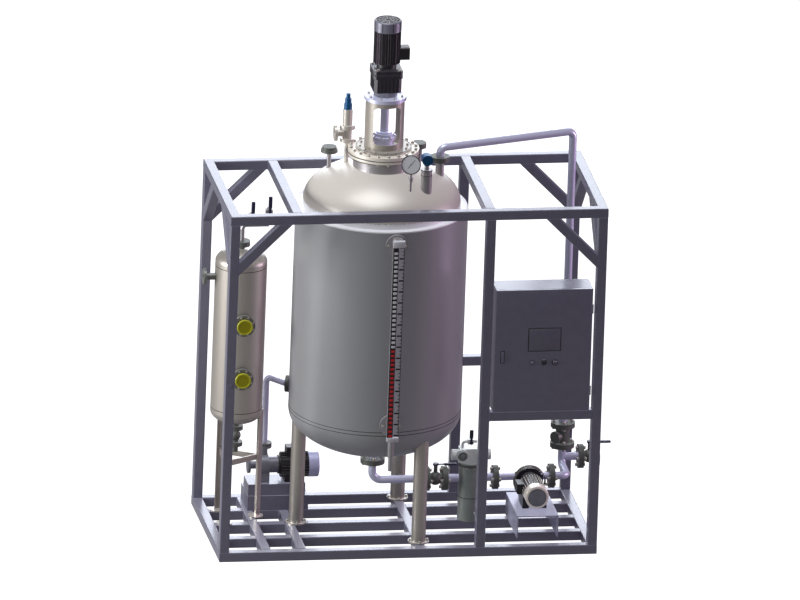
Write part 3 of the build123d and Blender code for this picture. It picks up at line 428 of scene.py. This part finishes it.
def copy_at(pattern, matrix):
    """A copy of a piece with a mesh of its own, moved by a matrix."""
    copy = pattern.copy()
    copy.data = pattern.data.copy()
    bpy.context.scene.collection.objects.link(copy)
    copy.data.transform(matrix)
    return copy


def gather(name, items, body="skid"):
    """Joins pieces into one named piece that rides on a body."""
    clear()
    for item in items:
        item.select_set(True)
    bpy.context.view_layer.objects.active = items[0]
    if len(items) > 1:
        bpy.ops.object.join()
    whole = bpy.context.view_layer.objects.active
    whole.name = name
    clear()
    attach(whole, body)
    return whole


def turned(material, profile, place, direction=UP, steps=48):
    """A lathe-turned piece: rings of (radius, height) in mm, stacked from a disc by extrude and scale."""
    clear()
    radius, height = profile[0]
    bpy.ops.mesh.primitive_circle_add(vertices=steps, radius=radius * MM, fill_type="NGON",
                                      location=(0, 0, height * MM))
    item = fresh(material)
    bpy.ops.object.transform_apply(location=True, rotation=True, scale=True)
    edit(item)
    for next_radius, next_height in profile[1:]:
        bpy.ops.mesh.extrude_region_move(
            TRANSFORM_OT_translate={"value": (0, 0, (next_height - height) * MM)})
        if radius != next_radius:
            factor = next_radius / radius
            bpy.ops.transform.resize(value=(factor, factor, 1), center_override=(0, 0, next_height * MM))
        radius, height = next_radius, next_height
    bpy.ops.mesh.select_all(action="SELECT")
    bpy.ops.mesh.normals_make_consistent(inside=False)
    done()
    item.data.transform(pose(place, direction))
    smooth(item)
    return item


def slab(material, lowest, highest, edge_mm=1.0, segments=2):
    """A plate or block between two corners with rounded edges."""
    clear()
    lowest, highest = Vector(lowest), Vector(highest)
    bpy.ops.mesh.primitive_cube_add(size=1, location=(lowest + highest) / 2, scale=highest - lowest)
    item = fresh(material)
    bpy.ops.object.transform_apply(location=True, rotation=True, scale=True)
    bevel(item, edge_mm * MM, segments)
    smooth(item)
    return item


def thin_ring(middle, direction, radius_mm, thickness_mm, material=None):
    """A thin ring round an axis, of seal rubber unless told otherwise."""
    clear()
    bpy.ops.mesh.primitive_torus_add(major_segments=64, minor_segments=8, major_radius=radius_mm * MM,
                                     minor_radius=thickness_mm * MM)
    ring = fresh(material or RUBBER)
    ring.data.transform(pose(middle, direction))
    smooth(ring, 1.2)
    return ring


def weld_ring(name, middle, radius, thickness_mm):
    """A bead round a vessel, taller than it stands proud."""
    clear()
    bpy.ops.mesh.primitive_torus_add(major_segments=128, minor_segments=8, major_radius=radius,
                                     minor_radius=thickness_mm * MM, location=middle)
    bead = fresh(RUBBER)
    bpy.ops.object.transform_apply(location=True, rotation=True, scale=True)
    edit(bead)
    bpy.ops.transform.resize(value=(1, 1, 1.6), center_override=middle)
    done()
    smooth(bead, 1.2)
    gather(name, [bead])


def cut(item, cutter):
    """Takes one piece's volume out of another."""
    hole = item.modifiers.new("hole", "BOOLEAN")
    hole.operation = "DIFFERENCE"
    hole.solver = "EXACT"
    hole.object = cutter
    bpy.context.view_layer.objects.active = item
    bpy.ops.object.modifier_apply(modifier=hole.name)
    bpy.data.objects.remove(cutter)


def hex_bolt(size):
    """One hexagon bolt head on its washer, standing on the origin and pointing along z."""
    clear()
    bpy.ops.mesh.primitive_cylinder_add(vertices=16, radius=size * 1.15, depth=size * 0.3,
                                        location=(0, 0, size * 0.15))
    washer = bpy.context.object
    bpy.ops.mesh.primitive_cylinder_add(vertices=6, radius=size, depth=size * 1.1,
                                        location=(0, 0, size * 0.8))
    head = bpy.context.object
    bevel(head, size * 0.12, 1)
    clear()
    washer.select_set(True)
    head.select_set(True)
    bpy.context.view_layer.objects.active = washer
    bpy.ops.object.join()
    item = fresh(ZINC)
    bpy.ops.object.transform_apply(location=True, rotation=True, scale=True)
    smooth(item)
    return item


def bolts(name, size_mm, places):
    """Bolt heads of one size, each copied to its (place, direction) and joined into one piece."""
    pattern = hex_bolt(size_mm * MM)
    copies = [copy_at(pattern, pose(place, direction)) for place, direction in places]
    bpy.data.objects.remove(pattern)
    gather(name, copies)


def bolt_circle(middle, direction, radius, count, turn=0.5):
    """Places evenly round a circle whose axis is the direction."""
    direction = Vector(direction).normalized()
    across = direction.orthogonal().normalized()
    other = direction.cross(across)
    places = []
    for i in range(count):
        angle = 2 * math.pi * (i + turn) / count
        places.append((Vector(middle) + (across * math.cos(angle) + other * math.sin(angle)) * radius,
                       direction))
    return places


# Fasteners, welds and gaskets

def tank_bolts():
    """Bolts of the manhole, the stool, the gearbox and the shaft's seal."""
    cover_top = high("manhole_cover").z
    under_neck_flange = cover_top - 44 * MM
    on_stool_flange = low("agitator_stool").z + 12 * MM
    for name, size_mm, z, direction, radius_mm, count in (
            ("manhole_bolts", 10, cover_top, UP, 201, 20),
            ("manhole_nuts", 10, under_neck_flange, DOWN, 203, 20),
            ("stool_bolts", 7, on_stool_flange, UP, 148, 12),
            ("lantern_cap_bolts", 7, high("agitator_stool").z, UP, 106, 8)):
        bolts(name, size_mm, bolt_circle((tank.x, 0, z), direction, radius_mm * MM, count))
    gear_top = high("gearbox").z - 4 * MM
    corners = [((tank.x + x * 74 * MM, y * 74 * MM, gear_top), UP) for x in (-1, 1) for y in (-1, 1)]
    bolts("gearbox_bolts", 7, corners + bolt_circle((tank.x, 0, gear_top), UP, 82 * MM, 4, 0.0))
    seal_flange = low("seal_housing").z + 78 * MM
    bolts("seal_bolts", 6, bolt_circle((tank.x, 0, seal_flange), UP, 66 * MM, 8))


def pipe_bolts():
    """Four bolts on both faces of each flanged joint of the pipework."""
    outer_face = 16 * MM
    bolt_radius = 55 * MM
    joints = [((x, line_y, line_z), RIGHT) for x in (low("outlet_valve").x, high("outlet_valve").x,
                                                     low("transfer_pump").x, high("transfer_pump").x)]
    joints += [((riser_x, riser_y, z), UP) for z in (low("riser_valve").z, high("riser_valve").z)]
    joints += [(drain_joint, RIGHT), ((tank.x, 0, outlet_joint), UP)]
    places = []
    for middle, axis in joints:
        for outwards in (Vector(axis), -Vector(axis)):
            places += bolt_circle(Vector(middle) + outwards * outer_face, outwards, bolt_radius, 4)
    bolts("pipe_flange_bolts", 11, places)


def welds():
    """Beads round the jacket's lower end and the separator's shell."""
    jacket_base = low("jacket_shell").z
    for name, z in (("jacket_girth_weld", jacket_base), ("bottom_head_weld", jacket_base - 22 * MM)):
        weld_ring(name, (tank.x, 0, z), tank_radius - 0.5 * MM, 1.6)
    for name, z in (("separator_lower_weld", low("separator_shell").z),
                    ("separator_upper_weld", high("separator_shell").z)):
        weld_ring(name, (vessel.x, vessel.y, z), vessel_radius - 0.4 * MM, 1.4)


def gaskets():
    """Dark gaskets between the flanges of the manhole and the stool."""
    cover_top = high("manhole_cover").z
    rings = [thin_ring((tank.x, 0, z), UP, radius, thickness) for z, radius, thickness in (
        (cover_top - 22 * MM, 226, 2.2), (cover_top - 43 * MM, 226, 1.6),
        (low("agitator_stool").z + 12 * MM, 168, 1.6), (high("agitator_stool").z - 22 * MM, 124, 1.8))]
    gather("flange_gaskets", rings)


def outline_rings():
    """Joints round the level sensor's stub, the pump's casing, the filter's caps and the gauge's flanges."""
    stub = centre("level_transmitter")
    stub_top = high("level_transmitter").z - 102 * MM
    rings = [thin_ring((stub.x, stub.y, z), UP, 34.2, 1.8) for z in (stub_top, stub_top - 34 * MM)]
    casing = Vector((transfer_axis_x, high("transfer_pump_motor").y, transfer_axis_z))
    casing_mm = (high("transfer_pump").z - casing.z) / MM - 1
    for behind, thickness, material in ((0, 1.4, RUBBER), (14, 2.8, ZINC),
                                        (28, 1.4, RUBBER), (42, 2.8, ZINC)):
        rings.append(thin_ring(casing + Vector(BACK) * behind * MM, BACK, casing_mm, thickness, material))
    for cap in filter_caps:
        rings += [thin_ring(cap + Vector(FRONT) * 4 * MM, BACK, radius, 1.6) for radius in (28, 18)]
    for z in gauge_flanges:
        rings.append(thin_ring((gauge_x, -tank_radius - 30 * MM, z), FRONT, 66, 1.8))
    gather("joint_outlines", rings)


def foot_bolts():
    """Anchor bolts in the foot plates of the tank's three legs."""
    leg_circle = 465 * MM
    plate_top = 68 * MM
    places = []
    for angle in (180, 60, -60):
        x = tank.x + leg_circle * math.cos(math.radians(angle))
        y = leg_circle * math.sin(math.radians(angle))
        places += bolt_circle((x, y, plate_top), UP, 55 * MM, 4)
    bolts("foot_plate_bolts", 8, places)


# Gauges and sight glasses

def gauge_range():
    """Lowest and highest level that the level gauge shows, between its end blocks."""
    return low("gauge_indicator").z + 32 * MM, high("gauge_indicator").z - 42 * MM


def gauge_flaps():
    """Magnetic flaps of the level gauge in their groove, red up to the product's level and white above."""
    lo, hi = low("gauge_indicator"), high("gauge_indicator")
    face = lo.y
    groove = slab(RUBBER, (lo.x - 3 * MM, face - 1.5 * MM, lo.z), (lo.x + 33 * MM, face, hi.z), 0.4, 1)
    gather("flap_groove", [groove])
    height = 15 * MM
    pitch = 29 * MM
    product_level = 1385 * MM
    pattern = slab(RED, (lo.x + 5 * MM, face - 4.5 * MM, 0), (lo.x + 28 * MM, face - 1.5 * MM, height), 1.2)
    rows = {"red_level_flaps": [], "white_level_flaps": []}
    z, last = gauge_range()
    while z + height < last:
        full = z < product_level
        flap = copy_at(pattern, Matrix.Translation((0, 0, z)))
        flap.data.materials[0] = RED if full else WHITE
        rows["red_level_flaps" if full else "white_level_flaps"].append(flap)
        z += pitch
    bpy.data.objects.remove(pattern)
    for name, flaps in rows.items():
        gather(name, flaps)


def gauge_scale():
    """Marks beside the flaps, every third one long, the rail's sides and its end blocks."""
    lo, hi = low("gauge_indicator"), high("gauge_indicator")
    face = lo.y
    plate = hi.y - 8 * MM
    front = plate - 0.8 * MM
    right = hi.x - 1 * MM
    pitch = 24 * MM
    marks = []
    first, last = gauge_range()
    z = first
    while z < last:
        wide, tall = (11 * MM, 5 * MM) if len(marks) % 3 else (30 * MM, 10 * MM)
        marks.append(slab(RUBBER, (right - wide, front, z), (right, plate, z + tall), 0.3, 1))
        z += pitch
    marks.append(slab(RUBBER, (hi.x - 3.5 * MM, front, first - 4 * MM), (hi.x, plate, last), 0.3, 1))
    gather("level_scale_marks", marks)
    gather("flap_rail_sides", [slab(RUBBER, (x, face - 5 * MM, lo.z), (x + 2.5 * MM, face, hi.z), 0.8)
                               for x in (lo.x + 2 * MM, lo.x + 28.5 * MM)])
    ends = ((lo.z + 14 * MM, 14 * MM), (hi.z - 20 * MM, 20 * MM))
    gather("indicator_end_blocks", [slab(DIAL, (lo.x - 2 * MM, face - 8 * MM, z - half),
                                         (hi.x, hi.y, z + half), 2) for z, half in ends])


def gauge_bolts():
    """Bolts of the level gauge's two flanges."""
    places = []
    for z in gauge_flanges:
        places += bolt_circle((gauge_x, -tank_radius - 32 * MM, z), FRONT, 52 * MM, 4)
    bolts("gauge_flange_bolts", 8, places)


def sight_glasses():
    """Yellow rims and flange bolts of the separator's two sight glasses."""
    cap = low("separator_fittings").y
    profile = [(43.5, 0), (49, 1), (49, 9), (47, 11), (40, 11), (39, 8.5)]
    places = []
    rims = []
    for z in (1017 * MM, 1366 * MM):
        places += bolt_circle((vessel.x, cap + 22 * MM, z), FRONT, 58.5 * MM, 8)
        rims.append(turned(YELLOW_RIM, profile, (vessel.x, cap + 8.6 * MM, z), FRONT, 32))
    bolts("sight_glass_bolts", 6, places)
    gather("sight_glass_rims", rims)


def dial():
    """Pressure gauge face with its rim, marks and pointer, and its glass."""
    case = Vector((tank.x + 118 * MM, -330 * MM, 2491 * MM))
    facing = Vector((-0.2, -0.92, 0.3)).normalized()
    first_mark, mark_step, reading = 225, 27, 52
    middle = case + facing * 16 * MM
    face = turned(DIAL_FACE, [(55, 0), (55, 0.6)], middle, facing)
    rim = thin_ring(middle + facing * MM, facing, 57.5, 3.4, BLACK)
    across = Vector(UP).cross(facing).normalized()
    up = facing.cross(across).normalized()
    turn = Matrix.Translation(middle) @ Matrix((across, up, facing)).transposed().to_4x4()
    bars = []
    for i in range(11):
        angle = math.radians(first_mark - mark_step * i)
        bar = slab(DARK_STEEL, Vector((45, -0.7, 0.6)) * MM, Vector((50, 0.7, 1.2)) * MM, 0.2, 1)
        bar.data.transform(turn @ Matrix.Rotation(angle, 4, "Z"))
        bars.append(bar)
    pointer = slab(RUBBER, Vector((-30, -2.2, 2)) * MM, Vector((38, 2.2, 2.8)) * MM, 0.3, 1)
    pointer.data.transform(turn @ Matrix.Rotation(math.radians(reading), 4, "Z"))
    hub = turned(BLACK, [(5, 0), (5, 3.4), (3, 4)], middle, facing, 24)
    gather("pressure_dial_marks", bars + [pointer, hub])
    gather("pressure_dial_face", [face])
    gather("pressure_dial_rim", [rim])
    gather("pressure_dial_glass", [turned(GLASS, [(53.5, 4.2), (53.5, 4.8)], middle, facing)])


# Motors, gearbox, levers and filter

def fan_grille(name, middle, direction, radius_mm, material, dark):
    """Fan cowl end: rings and spokes over a flat disc of painted shade, which stands for the dark opening
    behind them.
    """
    inner, outer = radius_mm * 0.2, radius_mm * 0.8
    # Painted shade: a flat disc in the given dark finish where the cowl's hollow would lie in shadow.
    gather(name + "_painted_shade_disc", [turned(dark, [(outer, -0.4), (outer, 0.4)], middle, direction)])
    bars = []
    for k in range(4):
        clear()
        bpy.ops.mesh.primitive_torus_add(major_segments=48, minor_segments=6, minor_radius=1.4 * MM,
                                         major_radius=radius_mm * (0.2 + 0.19 * k) * MM)
        bars.append(fresh(material))
    for k in range(8):
        spoke = slab(material, Vector((inner, -1.2, -1)) * MM, Vector((outer, 1.2, 1)) * MM, 0.3, 1)
        spoke.data.transform(Matrix.Rotation(math.pi * k / 4, 4, "Z"))
        bars.append(spoke)
    for bar in bars:
        bar.data.transform(pose(middle, direction))
        smooth(bar)
    gather(name, bars)


def fins(name, root, direction, radius_mm, length_mm, count, material):
    """Thin cooling fins round a motor's body, from the root along its axis."""
    blades = []
    for i in range(count):
        blade = slab(material, Vector((radius_mm - 12, -1.1, 0)) * MM,
                     Vector((radius_mm, 1.1, length_mm)) * MM, 0.6, 1)
        blade.data.transform(pose(root, direction) @ Matrix.Rotation(2 * math.pi * (i + 0.5) / count, 4, "Z"))
        blades.append(blade)
    gather(name, blades)


def motors():
    """Fan grilles, fins, cowl seams and the terminal box's lid of the three motors."""
    top = high("agitator_motor")
    fan_grille("agitator_fan_grille", (tank.x, 0, top.z + 0.4 * MM), UP, 96, DIAL, RUBBER)
    seams = []
    for i in range(8):
        seam = slab(RUBBER, (83 * MM, -3 * MM, top.z - 62 * MM), (86 * MM, 3 * MM, top.z - 4 * MM), 0.6, 1)
        seam.data.transform(about_tank(math.pi / 4 * (i + 0.3)))
        seams.append(seam)
    gather("agitator_cowl_seams", seams)
    fins("agitator_motor_fins", (tank.x, 0, top.z - 274 * MM), UP, 84, 206, 36, BLACK)
    cowl = Vector((transfer_axis_x, low("transfer_pump_motor").y, transfer_axis_z))
    disc = turned(DARK_STEEL, [(54, -2), (54, 0.8), (52, 1.4)], cowl, FRONT)
    gather("transfer_pump_cowl_rim", [thin_ring(cowl + Vector(FRONT) * 0.2 * MM, FRONT, 55, 1.8)])
    fins("transfer_pump_fins", cowl + Vector(BACK) * 78 * MM, BACK, 73.5, 166, 26, FLANGE)
    gather("transfer_pump_cowl_disc", [disc])
    cowl_end = high("return_pump_motor").x - 0.6 * MM
    fan_grille("return_pump_fan_grille", (cowl_end, return_axis_y, return_axis_z), RIGHT, 72, BLACK,
               DOOR_GREY)
    box_z = high("gearbox").z + 90 * MM
    half = 36 * MM
    gather("terminal_box_lid", [slab(BLACK, (top.x - 7.6 * MM, -half, box_z - half),
                                     (top.x - 0.1 * MM, half, box_z + half), 4, 3)])


def gearbox_ribs():
    """Upright cooling ribs on the four sides of the gearbox."""
    top = high("gearbox").z - 54 * MM
    base = top - 86 * MM
    ribs = []
    for side in range(4):
        for i in range(5):
            x = (i - 2) * 24 * MM
            rib = slab(BLACK, (x - 4 * MM, -89.5 * MM, base), (x + 4 * MM, -84 * MM, top), 2)
            rib.data.transform(about_tank(math.pi / 2 * side))
            ribs.append(rib)
    gather("gearbox_ribs", ribs)


def lever_sleeves():
    """Vinyl sleeves on the grips of the quarter-turn levers, upright ones first and level ones after."""
    for node, body in (("vent_lever", "vent_lever"), ("manifold_lever_left", "left_manifold_lever"),
                       ("manifold_lever_right", "right_manifold_lever")):
        lo, hi = low(node), high(node)
        z = lo.z + (hi.z - lo.z) * 0.42
        middle = (lo.x + hi.x) / 2
        sleeve = slab(NAVY, (middle - 12 * MM, lo.y - 1.5 * MM, z),
                      (middle + 12 * MM, lo.y + 11.5 * MM, hi.z), 5, 4)
        gather(node + "_sleeve", [sleeve], body)
    for node, body in (("outlet_valve_lever", "outlet_lever"), ("drain_valve_lever", "drain_lever")):
        lo, hi = low(node), high(node)
        middle = (lo.y + hi.y) / 2
        sleeve = slab(NAVY, (hi.x - 78 * MM, middle - 13.5 * MM, hi.z - 14.5 * MM),
                      (hi.x, middle + 13.5 * MM, hi.z - 1.5 * MM), 5, 4)
        gather(node + "_sleeve", [sleeve], body)


def filter_rings():
    """Turned caps on the filter's head, the weld line round the body and the clamp ring between them."""
    profile = [(28, 0), (28, 4), (26, 5), (20, 5), (19, 3), (11, 3), (10, 8), (7, 9)]
    gather("filter_head_caps", [turned(GREEN_GREY, profile, cap + Vector(BACK) * 0.5 * MM, FRONT)
                                for cap in filter_caps])
    lo, hi = low("filter_body"), high("filter_body")
    radius = (hi.x - lo.x) / 2
    weld_ring("filter_body_weld", (filter_x, 0, lo.z + 150 * MM), radius - 0.4 * MM, 1.6)
    wide = radius / MM
    clamp = (filter_x, 0, low("filter_head").z - 24 * MM)
    profile = [(wide, 0), (wide + 6, 2), (wide + 6, 20), (wide, 22)]
    gather("filter_clamp_ring", [turned(CASTING, profile, clamp)])
    bolts("filter_clamp_bolts", 6, bolt_circle(clamp, DOWN, radius - 2 * MM, 10))


# Cabinet

def screen_edges():
    """Left, right, bottom and top of the screen: the photograph's level, not that of the CAD's door."""
    lo, hi = low("cabinet_door"), high("cabinet_door")
    middle = (lo.x + hi.x) / 2 + 8 * MM
    return middle - 104 * MM, middle + 104 * MM, hi.z - 402 * MM, hi.z - 246 * MM


def cabinet_door():
    """Folded tray door with the screen's cut-out, in place of the CAD's door."""
    lo, hi = low("cabinet_door"), high("cabinet_door")
    sheet = 1.5 * MM
    door = slab(ENAMEL, lo, hi, 1.5, 3)
    cut(door, slab(ENAMEL, lo + Vector((sheet, sheet, sheet)),
                   (hi.x - sheet, hi.y + 5 * MM, hi.z - sheet), 0.2, 1))
    left, right, base, top = screen_edges()
    cut(door, slab(ENAMEL, (left, lo.y - 5 * MM, base), (right, lo.y + 5 * MM, top), 4, 3))
    smooth(door)
    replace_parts(gather("folded_door", [door], "door"), "cabinet_door")


def door_fittings():
    """Screen behind its seal, two buttons with a selector between them, and the swing handle of the lock."""
    face = low("cabinet_door").y
    left, right, base, top = screen_edges()
    middle = (left + right) / 2
    gap = 0.5 * MM
    border = 7 * MM
    items = [slab(RUBBER, (left + gap, face - 0.4 * MM, base + gap),
                  (right - gap, face + 14 * MM, top - gap), 3, 3),
             slab(SCREEN, (left + border, face - 1.2 * MM, base + border),
                  (right - border, face + 2 * MM, top - border), 0.6)]
    level = base - 70 * MM
    first, last = middle - 74 * MM, middle + 66 * MM
    for x, radius in ((first, 15), (middle, 17), (last, 19)):
        items.append(turned(RUBBER, [(radius, 0), (radius, 4), (radius - 1.5, 5)],
                            (x, face + 0.2 * MM, level), FRONT, 32))
    for x, radius in ((first, 10), (last, 13)):
        items.append(turned(ENAMEL, [(radius, 0), (radius, 5), (radius - 2, 7)],
                            (x, face - 4 * MM, level), FRONT, 32))
    items += [slab(BLACK, (last - 16 * MM, face - 15 * MM, level - 2.5 * MM),
                   (last + 16 * MM, face - 9 * MM, level + 2.5 * MM), 2),
              turned(BLACK, [(13, 0), (12, 7), (10, 8)], (middle, face - 4 * MM, level - 3 * MM), FRONT, 32),
              slab(ENAMEL, (middle - 12 * MM, face - 10 * MM, level + 15 * MM),
                   (middle + 12 * MM, face - 2 * MM, level + 21 * MM), 2)]
    lock_x = low("cabinet_door").x + 48 * MM
    lock_z = high("cabinet_door").z - 432 * MM
    items += [slab(RUBBER, (lock_x - 13 * MM, face - 2 * MM, lock_z - 41 * MM),
                   (lock_x + 13 * MM, face + 1 * MM, lock_z + 41 * MM), 0.9),
              slab(ENAMEL, (lock_x - 7.5 * MM, face - 8 * MM, lock_z - 35 * MM),
                   (lock_x + 7.5 * MM, face - 1.5 * MM, lock_z + 35 * MM), 2.8, 4)]
    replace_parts(gather("door_screen_and_controls", items, "door"), "door_fittings")


def cabinet_hinges():
    """Barrel hinges between the door and the box."""
    lo, hi = low("cabinet_door"), high("cabinet_door")
    barrel = [(5, 0), (6, 1), (6, 59), (5, 60)]
    gather("cabinet_hinges", [turned(ENAMEL, barrel, (hi.x, lo.y + 1 * MM, z), UP, 24)
                              for z in (hi.z - 690 * MM, hi.z - 160 * MM)])


# Studio

def floor_material():
    """White studio board: matt, and lifted to plain white for the camera apart from a faint shadow."""
    material, tree, shader = start("white_studio_board", 0.0, 0.9, "8C8C8C")
    shader.inputs["Specular IOR Level"].default_value = 0.0
    shader.inputs["Emission Color"].default_value = (1, 1, 1, 1)
    path = add(tree, "ShaderNodeLightPath")
    lift = add(tree, "ShaderNodeMath", {"operation": "MULTIPLY", 1: 0.96}, {0: path.outputs["Is Camera Ray"]})
    tree.links.new(lift.outputs[0], shader.inputs["Emission Strength"])
    return material


def lamp(name, place, target, size, power, colour=(1, 1, 1), shadow=True):
    data = bpy.data.lights.new(name, "AREA")
    data.use_shadow = shadow
    data.color = colour
    data.shape = "SQUARE"
    data.size = size
    data.energy = power
    item = bpy.data.objects.new(name, data)
    bpy.context.scene.collection.objects.link(item)
    item.location = place
    item.rotation_euler = (Vector(target) - Vector(place)).to_track_quat("-Z", "Y").to_euler()


def studio():
    """White floor and backdrop, with a strong soft lamp on the left and three that fill without a shadow."""
    scene = bpy.context.scene
    scene.view_settings.view_transform = "Standard"
    clear()
    bpy.ops.mesh.primitive_plane_add(size=90, location=(0, 0, 0))
    floor = bpy.context.object
    floor.name = "studio_floor"
    floor.data.materials.append(floor_material())
    world = bpy.data.worlds.new("studio_world")
    scene.world = world
    world.use_nodes = True
    tree = world.node_tree
    tree.nodes.clear()
    path = add(tree, "ShaderNodeLightPath")
    seen = add(tree, "ShaderNodeMath", {"operation": "MAXIMUM"}, {0: path.outputs["Is Camera Ray"],
                                                                   1: path.outputs["Is Transmission Ray"]})
    soft = add(tree, "ShaderNodeBackground", {"Color": (1, 1, 1, 1), "Strength": 0.2})
    white = add(tree, "ShaderNodeBackground", {"Color": (1, 1, 1, 1), "Strength": 1.0})
    mix = add(tree, "ShaderNodeMixShader",
              links={0: seen.outputs[0], 1: soft.outputs[0], 2: white.outputs[0]})
    add(tree, "ShaderNodeOutputWorld", links={"Surface": mix.outputs[0]})
    lamp("left_softbox", (-7.0, -1.0, 2.6), (0, 0, 1.4), 3.0, 600)
    lamp("right_softbox", (6.8, -0.9, 2.2), (0, 0, 1.4), 2.4, 220, (1.0, 0.7, 0.98), shadow=False)
    lamp("overhead_softbox", (-1.0, -0.6, 8.0), (0, 0, 1.6), 4.0, 330, (0.95, 0.97, 1.0), shadow=False)
    lamp("rear_softbox", (1.3, 9.0, 4.4), (0, 0, 1.8), 6.0, 460, (0.86, 0.91, 1.0), shadow=False)


def camera():
    """The photograph is a parallel projection from the left front, above, with a slight roll."""
    azimuth = math.radians(-9.9)
    elevation = math.radians(19.42)
    roll = math.radians(2.03)
    metre_per_pixel = 0.006142
    photo_width, photo_height = 800, 600
    view_back = Vector((math.sin(azimuth) * math.cos(elevation), -math.cos(azimuth) * math.cos(elevation),
                        math.sin(elevation)))
    level = Vector(UP).cross(view_back).normalized()
    over = view_back.cross(level)
    right = level * math.cos(roll) + over * math.sin(roll)
    up = over * math.cos(roll) - level * math.sin(roll)
    # The frame's left front corner on the floor is at this pixel, from the photograph's top left
    corner = Vector((low("base_long_rails").x, low("base_long_rails").y, 0))
    corner_x, corner_y = 219.2, 562.6
    aim = (corner + right * (photo_width / 2 - corner_x) * metre_per_pixel
           + up * (corner_y - photo_height / 2) * metre_per_pixel)
    data = bpy.data.cameras.new("studio_camera")
    data.type = "ORTHO"
    data.ortho_scale = photo_width * metre_per_pixel
    data.clip_end = 100
    item = bpy.data.objects.new("studio_camera", data)
    bpy.context.scene.collection.objects.link(item)
    turn = Matrix((right, up, view_back)).transposed()
    item.matrix_world = Matrix.Translation(aim + view_back * 12) @ turn.to_4x4()
    bpy.context.scene.camera = item


clear()
camera()
dress_nodes()
dark_flanges()
tank_bolts()
pipe_bolts()
welds()
gaskets()
outline_rings()
gauge_flaps()
gauge_scale()
gauge_bolts()
sight_glasses()
dial()
motors()
gearbox_ribs()
lever_sleeves()
filter_rings()
cabinet_door()
door_fittings()
cabinet_hinges()
foot_bolts()
studio()
